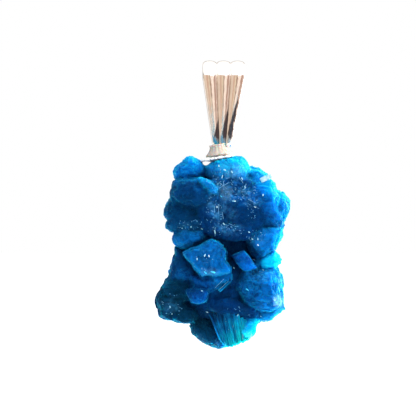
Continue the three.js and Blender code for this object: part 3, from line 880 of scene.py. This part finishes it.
sheafSettings = {
    "perStep": 5,             # blades from one line of the table to the next
    "overlap": 1.9,
    "uneven": (0.86, 1.04),   # share of the line that a blade covers
    "lean": (0.03, 0.02, 0.15),  # radians that a blade may be out of line, about each axis
    "toneStray": 0.08,
    "shift": 3.7,             # keeps the streaks of one blade from running on in the next
    "sheaves": [
        {"name": "lowerSheaf", "depth": 2.2, "y": -2.7, "tones": (0.30, 0.90), "lines": [
            # top and bottom of a blade, px
            (211, 313, 221, 338), (215, 311, 225, 345), (220, 310, 229, 346), (226, 311, 233, 345),
            (232, 312, 238, 343), (239, 315, 243, 341), (244, 319, 247, 339)]},
        {"name": "frontFan", "depth": 0.6, "y": -4.0, "tones": (0.22, 0.34), "lines": [
            (230, 278, 216, 289), (231, 281, 220, 291)]},
    ],
}


def narrowEnds(piece, width, inward, upward):  # top and bottom, both by shares of the width
    startEditing(piece)
    for end in (1, -1):
        pick(piece, lambda face: face.normal.z * end > 0.9)
        bpy.ops.mesh.inset(thickness=inward * width * mm, depth=upward * width * mm)


def makeBlade(width, depth, height):  # one blade, with the origin in its middle
    blade = addShape("cube", size=1)
    blade.scale = (width * mm, depth * mm, height * mm)
    settle(blade)
    narrowEnds(blade, width, 0.28, 0.35)
    pick(blade, lambda edge: abs(edge.verts[0].co.z - edge.verts[1].co.z) > 0.5 * height * mm, "EDGE")
    bpy.ops.mesh.bevel(offset=0.16 * width * mm, segments=1)
    bpy.ops.object.mode_set(mode="OBJECT")
    return blade


def copyOf(source):  # a copy with a mesh of its own
    twin = source.copy()
    twin.data = source.data.copy()
    bpy.context.collection.objects.link(twin)
    return twin


def makeSheaf(spec, s, seed):
    dice = random.Random(seed)
    lines = spec["lines"]
    count = (len(lines) - 1) * s["perStep"] + 1
    width = (pixelToPlace(*lines[-1][:2]) - pixelToPlace(*lines[0][:2])).length / count * s["overlap"] / mm
    blades = []
    for index in range(count):
        along = index / (count - 1) * (len(lines) - 1)
        first = min(int(along), len(lines) - 2)
        line = [a + (b - a) * (along - first) for a, b in zip(lines[first], lines[first + 1])]
        top, bottom = pixelToPlace(*line[:2], spec["y"]), pixelToPlace(*line[2:], spec["y"])
        length = (top - bottom).length
        axis = (top - bottom) / length
        deep = spec["depth"] * dice.uniform(0.90, 1.0)
        blade = makeBlade(width, deep, length / mm * dice.uniform(*s["uneven"]))
        turn = Matrix((axis.cross(Vector((0, 1, 0))), Vector((0, 1, 0)), axis)).transposed().to_4x4()
        lean = Euler([dice.uniform(-most, most) for most in s["lean"]]).to_matrix().to_4x4()
        paint(blade, "across", [v.co.x / mm + index * s["shift"] for v in blade.data.vertices])
        paint(blade, "along", [v.co.z / mm for v in blade.data.vertices])
        blade.data.transform(Matrix.Translation((top + bottom) / 2) @ turn @ lean)
        low, high = spec["tones"]
        stray = dice.uniform(-s["toneStray"], s["toneStray"])
        paint(blade, "tone", low + (high - low) * index / (count - 1) + stray)
        blades.append(blade)
    return joinPieces(spec["name"], blades)


def sheafMaterial(name, look):
    material, wire, shader = newMaterial(name, look["constants"])
    place = wire.node("TexCoord", out=3)
    tone = wire.attribute("tone")
    across = wire.attribute("across")
    along = wire.attribute("along")
    strand = wire.node("CombineXYZ", {}, {"X": across * 9.0, "Y": along * 0.5})
    streak = wire.node("TexNoise", {}, {"Vector": strand, "Scale": 1.0, "Detail": 3.0, "Roughness": 0.6})
    mottle = grain(wire, place, look["mottle"])
    level = tone + (streak - 0.5) * 0.6 + (mottle - 0.5) * 0.7 - along * 0.14
    royal = wire.node("ValToRGB", {"stops": look["stops"]}, {0: level.clamp()})
    teal = wire.node("ValToRGB", {"stops": look["tealStops"]}, {0: level.clamp()})
    dress(wire, shader, (mottle * 0.35).blend(royal, teal), 0.25 + streak * 0.35)
    roughen(wire, shader, streak, 0.6, 0.05)
    return material


sheafBlue = sheafMaterial("sheafBlue", crystalLook)
for number, spec in enumerate(sheafSettings["sheaves"]):
    sheaf = makeSheaf(spec, sheafSettings, 40 + number)
    sheaf.data.materials.append(sheafBlue)
    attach(sheaf, "root")
    cluster.append(sheaf)
print("sheaves stacked")


# small crystals on the surface: free blades, chips, needles, one white block and frost; the pale and bright
# chips sit where the stone glints, so they are partly painted glints

def surfaceUnder(tree, column, row):  # the surface seen at a pixel, and its normal
    eye = bpy.context.scene.camera.location
    hit, normal, _, _ = tree.ray_cast(eye, (pixelToPlace(column, row) - eye).normalized())
    return hit, normal


chipSettings = {  # column, row, length in mm, lean in degrees from upright
    # pale chips: small crystals that are also painted glints
    "pale": [
        (242, 179, 0.40, 20), (250, 170, 0.34, 0), (225, 170, 0.40, 70), (219, 166, 0.36, 20),
        (222, 177, 0.42, 0), (232, 172, 0.34, 40), (245, 187, 0.34, 20), (234, 201, 0.40, 80),
        (217, 207, 0.26, 0), (255, 207, 0.32, 60), (263, 195, 0.28, 0), (224, 224, 0.36, 30),
        (215, 232, 0.42, 0), (182, 228, 0.42, 80), (202, 229, 0.26, 50), (191, 227, 0.24, 0),
        (252, 239, 0.34, 70), (258, 239, 0.32, 0), (258, 245, 0.24, 30), (261, 233, 0.26, 10),
        (249, 232, 0.26, 50), (205, 255, 0.55, -25), (209, 256, 0.40, 10), (197, 259, 0.22, 0),
        (234, 268, 0.30, 20), (202, 291, 0.28, 60), (263, 270, 0.36, 20), (170, 307, 0.30, 10),
        (172, 314, 0.26, 60), (261, 316, 0.28, 0), (238, 315, 0.26, 30), (207, 312, 0.40, 80),
        (266, 321, 0.36, 60),
    ],
    # bright chips: painted glints as well as small crystals
    "bright": [(221, 196, 0.60, 80), (205, 272, 0.60, 50), (213, 272, 0.80, 75), (248, 290, 0.50, 40)],
    "size": 0.85,
    "width": 0.40,
    "minWidth": 0.13,
    "slant": 0.5,             # radians that one end may stand out of the surface by
    "lift": 0.02,
    "whiteBlock": {"middle": (265.5, 178.3), "y": -3.2, "size": (1.25, 0.5, 0.62), "lean": 26},
}


def makeChip(length, width):  # a short six-sided crystal with pointed ends
    chip = addShape("cylinder", vertices=6, radius=0.5, depth=1)
    chip.scale = (width * mm, 0.6 * width * mm, length * mm)
    settle(chip)
    narrowEnds(chip, width, 0.25, 0.22)
    bpy.ops.object.mode_set(mode="OBJECT")
    return chip


def placeChips(name, rows, s, tree):
    dice = random.Random(len(rows))
    chips = []
    for column, row, length, lean in rows:
        hit, normal = surfaceUnder(tree, column, row)
        if hit is None:
            print("no surface under", column, row)
            continue
        length *= s["size"] * dice.uniform(0.7, 1.2)
        chip = makeChip(length, max(s["minWidth"], s["width"] * length))
        turn = Matrix.Rotation(math.radians(-lean), 4, "Y")
        slant = Matrix.Rotation(dice.uniform(-1, 1) * s["slant"], 4, "X")
        facing = normal.to_track_quat("-Y", "Z").to_matrix().to_4x4()
        chip.data.transform(Matrix.Translation(hit + normal * s["lift"] * mm) @ facing @ turn @ slant)
        chips.append(chip)
    return joinPieces(name, chips)


def makeWhiteBlock(s):  # the clear white crystal that lies on the right crest
    block = addShape("cube", size=1)
    block.name = block.data.name = "whiteBlock"
    block.scale = Vector(s["size"]) * mm
    settle(block)
    startEditing(block)
    pick(block, lambda face: face.normal.x > 0.9)
    bpy.ops.mesh.inset(thickness=0.10 * mm, depth=0.16 * mm)
    pick(block, lambda edge: abs(edge.verts[0].co.x - edge.verts[1].co.x) > 0.5 * mm, "EDGE")
    bpy.ops.mesh.bevel(offset=0.09 * mm, segments=1)
    bpy.ops.mesh.select_all(action="SELECT")
    bpy.ops.transform.vertex_random(offset=0.09 * mm, seed=4)
    bpy.ops.object.mode_set(mode="OBJECT")
    place = Matrix.Translation(pixelToPlace(*s["middle"], s["y"]))
    block.data.transform(place @ Matrix.Rotation(math.radians(-s["lean"]), 4, "Y"))
    return settle(block)


needleSettings = {
    "width": 0.075,
    "lift": 0.06,
    "leap": 1.2,              # mm, a needle whose ends differ more in depth is left out
    "lines": [  # where each needle starts and ends, px
        (211, 313, 215, 321), (213, 316, 217, 326), (215, 321, 219, 332), (217, 328, 221, 340),
        (219, 334, 222, 343), (236, 327, 236, 333), (238, 334, 239, 341), (243, 334, 243, 340),
        (248, 335, 248, 340), (232, 322, 233, 330), (219, 290, 228, 281), (221, 291, 230, 280),
        (215, 288, 224, 279), (228, 276, 234, 271), (217, 286, 222, 281), (219, 188, 228, 183),
        (220, 183, 227, 189), (223, 181, 224, 190), (217, 185, 221, 181), (241, 192, 250, 192),
        (248, 199, 256, 203), (214, 212, 215, 204), (218, 214, 219, 204), (222, 212, 223, 219),
        (229, 224, 236, 227), (215, 228, 215, 236), (239, 177, 243, 183), (246, 184, 244, 190)],
}


def placeNeedles(s, tree):  # fine straight crystals that lie on the surface
    needles = []
    for startColumn, startRow, endColumn, endRow in s["lines"]:
        start, startNormal = surfaceUnder(tree, startColumn, startRow)
        end, endNormal = surfaceUnder(tree, endColumn, endRow)
        if start is None or end is None or abs(start.y - end.y) > s["leap"] * mm:
            continue
        start = start + startNormal * s["lift"] * mm
        end = end + endNormal * s["lift"] * mm
        needle = makeChip((end - start).length / mm, s["width"])
        turn = (end - start).to_track_quat("Z", "Y").to_matrix().to_4x4()
        needle.data.transform(Matrix.Translation((start + end) / 2) @ turn)
        needles.append(needle)
    return joinPieces("needles", needles)


frostSettings = {
    "patches": [  # column and row of the middle, reach across and down in pixels, how many flakes
        (224, 180, 18, 12, 46),
        (246, 192, 13, 9, 30),
        (214, 210, 9, 16, 30),
        (252, 208, 9, 11, 22),
        (233, 196, 12, 6, 22),
        (226, 230, 18, 6, 30),
        (190, 225, 14, 6, 20),
        (204, 260, 14, 12, 9),
        (256, 236, 10, 9, 14),
        (172, 305, 12, 12, 18),
        (236, 320, 16, 14, 20),
    ],
    "length": (0.10, 0.24),
    "width": 0.085,
    "patternWidth": 0.3,      # of the flake that all are copied from, one mm long
    "lift": 0.03,
}


def placeFrost(s, tree, seed):
    dice = random.Random(seed)
    pattern = makeChip(1.0, s["patternWidth"])
    flakes = []
    for column, row, across, down, count in s["patches"]:
        for _ in range(count):
            turn = dice.uniform(0, 2 * math.pi)
            out = math.sqrt(dice.random())
            aimColumn = column + across * out * math.cos(turn)
            hit, normal = surfaceUnder(tree, aimColumn, row + down * out * math.sin(turn))
            if hit is None or hit.y > 0:
                continue
            flake = copyOf(pattern)
            length = dice.uniform(*s["length"])
            thin = s["width"] / s["patternWidth"]
            size = Matrix.Diagonal((thin, thin, length, 1))
            spin = Euler([dice.uniform(0, 6) for _ in range(3)]).to_matrix().to_4x4()
            flake.data.transform(Matrix.Translation(hit + normal * s["lift"] * mm) @ spin @ size)
            flakes.append(flake)
    bpy.data.objects.remove(pattern)
    return joinPieces("druseFrost", flakes)


spraySettings = {
    "count": 90,
    "blades": (4, 8),
    "length": (0.5, 1.1),
    "width": 0.16,
    "depth": 0.42,
    "spread": 0.55,
    "from": 20,               # mm from the axis that the places are looked for from
    "heights": (-32.5, -11.5),
    "aside": 3.5,             # mm that the look may pass beside the axis, and above or below
    "above": 2,
    "forward": -1.0,          # mm, no spray stands further forward than this
    "tones": (0.35, 0.75),
    "rooted": 0.28,           # share of its length that a blade is sunk by
    "rise": (0.4, 0.5),       # painted shade, lighter towards the tip: in the middle of a blade, and how much more to the millimetre
}


def placeSprays(s, tree, seed):  # little sprays of free blades at the sides and the back
    dice = random.Random(seed)
    pattern = makeBlade(s["width"], s["depth"], 1.0)
    blades = []
    for _ in range(s["count"]):
        around = dice.uniform(0, 2 * math.pi)
        height = dice.uniform(*s["heights"])
        start = Vector((s["from"] * math.cos(around), s["from"] * math.sin(around), height)) * mm
        beside = dice.uniform(-s["aside"], s["aside"])
        aim = Vector((beside, 0, start.z / mm + dice.uniform(-s["above"], s["above"]))) * mm - start
        hit, normal, _, _ = tree.ray_cast(start, aim.normalized())
        if hit is None or hit.y < s["forward"] * mm:
            continue
        tone = dice.uniform(*s["tones"])
        for _ in range(dice.randint(*s["blades"])):
            blade = copyOf(pattern)
            length = dice.uniform(*s["length"])
            lean = (normal + Vector([dice.uniform(-1, 1) for _ in range(3)]) * s["spread"]).normalized()
            stand = lean.to_track_quat("Z", "Y").to_matrix().to_4x4()
            turn = Matrix.Rotation(dice.uniform(0, 6), 4, "Z")
            size = Matrix.Diagonal((1, 1, length, 1))
            low, more = s["rise"]
            paint(blade, "rise", [low + more * v.co.z / mm for v in blade.data.vertices])
            root = Matrix.Translation(hit - lean * s["rooted"] * length * mm)
            blade.data.transform(root @ stand @ turn @ size)
            paint(blade, "tone", tone)
            paint(blade, "light", 1.0)
            blades.append(blade)
    bpy.data.objects.remove(pattern)
    return joinPieces("freeBlades", blades)


paleLook = {
    "white": {"colour": (0.40, 0.50, 0.54), "dark": (0.08, 0.34, 0.50), "roughness": 0.3},
    # the pale and bright chip colours are partly crystal colour and partly painted highlights
    "pale": {"colour": (0.50, 0.74, 0.84), "dark": (0.10, 0.42, 0.66), "roughness": 0.3},
    "bright": {"colour": (0.03, 0.62, 0.86), "dark": (0.01, 0.40, 0.75), "roughness": 0.3},
    "needle": {"colour": (0.16, 0.40, 0.60), "dark": (0.02, 0.17, 0.42), "roughness": 0.4},
    "frost": {"colour": (0.07, 0.30, 0.52), "dark": (0.01, 0.12, 0.34), "roughness": 0.5},
}


def paleMaterial(name, look):
    constants = {"Subsurface Weight": 0.4, "Subsurface Radius": (0.5, 0.8, 1.0), "Subsurface Scale": 0.4 * mm,
                 "Specular IOR Level": 0.4}
    material, wire, shader = newMaterial(name, constants)
    place = wire.node("TexCoord", out=3)
    cloudy = grain(wire, place, 0.3 * mm)
    colour = ((cloudy - 0.35) * 2.5).clamp().blend((*look["dark"], 1), (*look["colour"], 1))
    dress(wire, shader, colour, look["roughness"] + (cloudy - 0.5) * 0.3)
    return material


crystalBlue = cluster[0].data.materials[0]
surface = surfaceTree(cluster)[0]
sprays = placeSprays(spraySettings, surface, 5)
sprays.data.materials.append(crystalBlue)
paleChips = placeChips("paleChips", chipSettings["pale"], chipSettings, surface)
needles = placeNeedles(needleSettings, surface)
needles.data.materials.append(paleMaterial("needleCrystal", paleLook["needle"]))
whiteBlock = makeWhiteBlock(chipSettings["whiteBlock"])
whiteBlock.data.materials.append(paleMaterial("whiteCrystal", paleLook["white"]))
paleChips.data.materials.append(paleMaterial("paleCrystal", paleLook["pale"]))
brightChips = placeChips("brightChips", chipSettings["bright"], chipSettings, surface)
brightChips.data.materials.append(paleMaterial("brightCrystal", paleLook["bright"]))
frost = placeFrost(frostSettings, surface, 9)
frost.data.materials.append(paleMaterial("frostCrystal", paleLook["frost"]))
for piece in (sprays, paleChips, needles, whiteBlock, brightChips, frost):
    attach(piece, "root")
print("small crystals set", len(frost.data.polygons), "faces of frost")


# the bail: half-round ribs, spun over the loop and drawn down to the foot

bailSettings = {
    "ribs": 3,
    "inner": 0.36,            # the inner face, as a share of the depth
    "overlap": 1.05,
    "sides": 24,
    "steps": 28,
    # height, distance from the middle plane, width of the three ribs and half depth of each, in mm
    "legs": [
        (0, 1.70, 5.20, 0.40), (-1.2, 1.54, 4.80, 0.39), (-2.4, 1.38, 4.40, 0.38),
        (-3.6, 1.22, 4.00, 0.37), (-4.8, 1.06, 3.60, 0.35), (-6.0, 0.90, 3.20, 0.33),
        (-7.2, 0.74, 2.80, 0.31), (-8.2, 0.607, 2.48, 0.29), (-8.45, 0.573, 2.40, 0.285),
        (-8.65, 0.50, 2.33, 0.25), (-8.75, 0.36, 2.26, 0.20)],
    "footSize": (1.8, 0.8, 1.3),  # the solid foot between the legs, mm
    "footFlank": (0.6, 0, 3),  # its flank, darkFrom and darkEdge, which keep the painted dark and blue reflections off it
    "smoothUnder": 40,        # degrees
    "lean": 0.2,              # mm that the loop stands to the right of the foot
    "darkFrom": [-5.0, -3.4, -2.4],  # height where the painted dark reflection on each rib's right begins, mm
    "darkEdge": [1.0, 1.0, 0.5],     # and how far to the right it lies
}


def makeRib(number, s):
    across = (number + 0.5) / s["ribs"] - 0.5
    legs = s["legs"]
    radius = legs[0][1] * mm
    halfWidth = s["overlap"] * legs[0][2] / (2 * s["ribs"]) * mm
    rib = addShape("circle", vertices=s["sides"], radius=1, location=(across * legs[0][2] * mm, -radius, 0))
    rib.scale = (halfWidth, legs[0][3] * mm, 1)
    settle(rib)
    startEditing(rib)
    pick(rib, lambda v: v.co.y > -radius + 0.01 * mm, "VERT")
    bpy.ops.transform.resize(value=(1, s["inner"], 1), center_override=(0, -radius, 0))
    bpy.ops.mesh.select_all(action="SELECT")
    bpy.ops.mesh.spin(steps=s["steps"], angle=math.pi, center=(0, 0, 0), axis=(1, 0, 0))
    for side in (1, -1):
        pick(rib, lambda v: v.co.y * side > 0 and abs(v.co.z) < 0.001 * mm, "VERT")
        for (fromZ, fromY, fromWide, fromDeep), (z, y, wide, deep) in zip(legs, legs[1:]):
            move = Vector((across * (wide - fromWide), side * (y - fromY), z - fromZ)) * mm
            extrudeBy(move)
            centre = Vector((across * wide, side * y, z)) * mm
            bpy.ops.transform.resize(value=(wide / fromWide, deep / fromDeep, 1), center_override=centre)
        bpy.ops.mesh.edge_face_add()
    bpy.ops.mesh.select_all(action="SELECT")
    bpy.ops.mesh.remove_doubles(threshold=0.0005 * mm)
    bpy.ops.mesh.normals_make_consistent(inside=False)
    bpy.ops.object.mode_set(mode="OBJECT")
    flanks = []
    for v in rib.data.vertices:  # -1 on the left side of the rib, 1 on the right
        down = between(0.0, v.co.z / (legs[-1][0] * mm), 1.0)
        wide = (legs[0][2] + (legs[-1][2] - legs[0][2]) * down) * mm
        flanks.append(between(-1.0, (v.co.x - across * wide) / (wide * s["overlap"] / (2 * s["ribs"])), 1.0))
    paint(rib, "flank", flanks)
    # where the painted dark reflection begins on this rib, and its edge
    paint(rib, "darkFrom", s["darkFrom"][number])
    paint(rib, "darkEdge", s["darkEdge"][number])
    for v in rib.data.vertices:
        v.co.x += s["lean"] * (1 - max(0.0, v.co.z / (legs[-1][0] * mm))) * mm
    smoothUnder(rib, s["smoothUnder"])
    return rib


def makeBail(s):
    ribs = [makeRib(number, s) for number in range(s["ribs"])]
    foot = addShape("cylinder", vertices=24, radius=0.5, depth=1,
                    location=(0, 0, (s["legs"][-1][0] + s["footSize"][2] / 2) * mm))
    foot.scale = [size * mm for size in s["footSize"]]
    settle(foot)
    startEditing(foot)
    pick(foot, lambda face: face.normal.z > 0.9)
    bpy.ops.mesh.inset(thickness=0.12 * mm, depth=0.1 * mm)
    bpy.ops.object.mode_set(mode="OBJECT")
    for name, value in zip(("flank", "darkFrom", "darkEdge"), s["footFlank"]):
        paint(foot, name, value)
    smoothUnder(foot, s["smoothUnder"])
    return joinPieces("ribbedBail", ribs + [foot])


capLook = {"colour": (0.37, 0.355, 0.31), "dark": (0.29, 0.27, 0.225), "roughness": 0.6}
silverLook = {
    "bright": (0.95, 0.90, 0.85),
    # darker silver, for random blotches and for the painted crease shade on the rib edges
    "tarnishAndCreaseShade": (0.42, 0.33, 0.28),
    # painted dark reflection, in a wedge on each rib's right
    "dark": (0.050, 0.042, 0.060),
    # painted reflection of the stone's blue, on the ribs above the foot
    "blue": (0.06, 0.38, 0.62),
    # strength of the painted crease shade
    "crease": 0.55,
    "darkTo": -7.2,           # height where the painted dark reflection is widest and the painted blue reflection of the stone begins, mm
    "blueTo": -8.3,
    "wedge": 1.25,            # how far the painted dark reflection reaches in from the crease there
    "roughness": 0.10,
}


def silverMaterial(name, s):
    material, wire, shader = newMaterial(name, {"Metallic": 1.0})
    place = wire.node("TexCoord", out=3)
    stretched = wire.node("Mapping", {}, {"Vector": place, "Scale": (1.0, 1.0, 0.12)})
    brushed = grain(wire, stretched, 0.16 * mm, 3.0)
    cloudy = grain(wire, place, 1.2 * mm)
    flank = wire.attribute("flank")
    darkFrom = wire.attribute("darkFrom")
    darkEdge = wire.attribute("darkEdge")
    height = wire.node("SeparateXYZ", {}, {0: place}, out=2) / mm + (brushed - 0.5) * 1.2
    # random darker silver, plus painted crease shade on each rib's edges below the loop
    dark = (cloudy - 0.5) * 0.5 + ((flank * flank) ** 2.0) * s["crease"] * (0 - height).clamp()
    silver = dark.clamp().blend((*s["bright"], 1), (*s["tarnishAndCreaseShade"], 1))
    # painted dark reflection: a wedge on each rib's right that widens downwards
    down = ((darkFrom - height) / (darkFrom - s["darkTo"])).clamp()
    ragged = flank + (brushed - 0.5) * 0.9
    reached = ((ragged - darkEdge + down * s["wedge"]) * 4).clamp() * ((darkEdge - ragged) * 5 + 1).clamp()
    uneven = height + flank * 0.5 + (cloudy - 0.5) * 2
    below = ((s["darkTo"] - uneven) * 2).clamp()
    gone = ((s["blueTo"] - uneven) * 3).clamp()
    withDarkReflection = (reached * (down * 20).clamp() * (1 - below) * 0.93).blend(silver, (*s["dark"], 1))
    # painted blue reflection of the stone, in a band above the foot
    strong = ((flank + 0.9) * 2).clamp() * ((-0.6 - darkFrom) * 0.27).clamp()
    withBlueReflection = (strong * below * (1 - gone)).blend(withDarkReflection, (*s["blue"], 1))
    dress(wire, shader, withBlueReflection, s["roughness"] + (brushed - 0.5) * 0.12 + dark.clamp() * 0.2)
    roughen(wire, shader, brushed, 0.35, 0.03)
    return material


def capMaterial(name, s):  # silver under a skin of dried glue
    constants = {"Metallic": 0.15, "Specular IOR Level": 0.2, "Subsurface Weight": 0.9,
                 "Subsurface Scale": 1.4 * mm}
    material, wire, shader = newMaterial(name, constants)
    cloudy = grain(wire, wire.node("TexCoord", out=3), 0.5 * mm)
    colour = ((cloudy - 0.45) * 3).clamp().blend((*s["colour"], 1), (*s["dark"], 1))
    dress(wire, shader, colour, s["roughness"] + (cloudy - 0.5) * 0.2)
    roughen(wire, shader, cloudy, 0.2, 0.05)
    return material


bail = makeBail(bailSettings)
bail.data.materials.clear()
bail.data.materials.append(silverMaterial("ribSilver", silverLook))
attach(bail, "root")
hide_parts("bail")
print("bail spun")


# the foot cap and its glue, leaning with the stone's top

seatSettings = {
    "centre": (-0.3, -0.5, -10.3),
    "lean": -9,
    "capLift": 0.52,
    "glueLift": 0.16,
    # radius and height of each ring of the cap, from its rim up, mm
    "capRings": [
        (1.60, 0.0), (1.66, 0.07), (1.64, 0.16), (1.52, 0.28), (1.36, 0.42), (1.22, 0.60), (1.10, 0.80),
                 (1.02, 1.00), (1.00, 1.16), (1.04, 1.32), (0.98, 1.38)],
    "smoothUnder": 35,        # degrees
    "flute": 0.94,            # every third line of the cap is drawn in by this share
    "glueRadius": 1.95,
    "glueHeight": 0.27,
    "blobs": [
        (-2.0, -0.7, 0.42), (-1.5, -1.3, 0.36), (0.1, -1.9, 0.40), (1.4, -1.0, 0.30), (-0.9, -1.7, 0.30),
              (-1.8, -1.1, 0.30), (0.8, -1.7, 0.26), (-0.4, -1.9, 0.24)],
}


def seatPlace(s, lift):
    lean = Matrix.Rotation(math.radians(s["lean"]), 4, "Y")
    return Matrix.Translation(Vector(s["centre"]) * mm) @ lean @ Matrix.Translation((0, 0, lift * mm))


def makeCap(s):
    rings = s["capRings"]
    cap = addShape("circle", vertices=48, radius=rings[0][0] * mm, fill_type="NGON")
    startEditing(cap)
    for (fromRadius, fromHeight), (radius, height) in zip(rings, rings[1:]):
        extrudeBy((0, 0, (height - fromHeight) * mm))
        bpy.ops.transform.resize(value=(radius / fromRadius, radius / fromRadius, 1))
    pick(cap, lambda v: v.co.z > 0.05 * mm and round(math.atan2(v.co.y, v.co.x) * 24 / math.pi) % 3 == 0,
         "VERT")
    bpy.ops.transform.resize(value=(s["flute"], s["flute"], 1), center_override=(0, 0, 0))
    bpy.ops.mesh.select_all(action="SELECT")
    bpy.ops.mesh.normals_make_consistent(inside=False)
    bpy.ops.object.mode_set(mode="OBJECT")
    cap.data.transform(seatPlace(s, s["capLift"]))
    smoothUnder(cap, s["smoothUnder"])
    cap.name = cap.data.name = "footCap"
    return cap


def makeGlue(s):
    bead = addShape("uv_sphere", segments=48, ring_count=16, radius=1)
    bead.scale = (s["glueRadius"] * mm, s["glueRadius"] * mm, s["glueHeight"] * mm)
    settle(bead)
    bead.data.transform(seatPlace(s, s["glueLift"]))
    parts = [bead]
    for x, y, size in s["blobs"]:
        blob = addShape("ico_sphere", subdivisions=3, radius=1)
        blob.scale = (size * mm, 0.8 * size * mm, 0.5 * size * mm)
        settle(blob)
        blob.data.transform(seatPlace(s, s["glueLift"]) @ Matrix.Translation((x * mm, y * mm, 0.02 * mm)))
        parts.append(blob)
    glue = joinPieces("gluedSeat", parts)
    applyModifier(glue, "DISPLACE", texture=lumpTexture("BLENDER_ORIGINAL", 0.5), strength=0.16 * mm,
                  mid_level=0.5)
    choose(glue)
    bpy.ops.object.shade_smooth()
    return glue


def glueMaterial(name):
    constants = {"Subsurface Weight": 0.5, "Subsurface Radius": (1.0, 1.0, 0.9), "Subsurface Scale": 0.3 * mm,
                 "Specular IOR Level": 0.5}
    material, wire, shader = newMaterial(name, constants)
    grit = grain(wire, wire.node("TexCoord", out=3), 0.22 * mm)
    colour = ((grit - 0.3) * 2).clamp().blend((0.55, 0.60, 0.60, 1), (0.92, 0.93, 0.90, 1))
    dress(wire, shader, colour, 0.25 + grit * 0.3)
    roughen(wire, shader, grit, 0.3, 0.05)
    return material


cap = makeCap(seatSettings)
cap.data.materials.append(capMaterial("capSilver", capLook))
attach(cap, "root")
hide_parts("bell_cap")
glue = makeGlue(seatSettings)
glue.data.materials.append(glueMaterial("driedGlue"))
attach(glue, "root")
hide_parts("glue_bead")
print("foot cap and glue set")
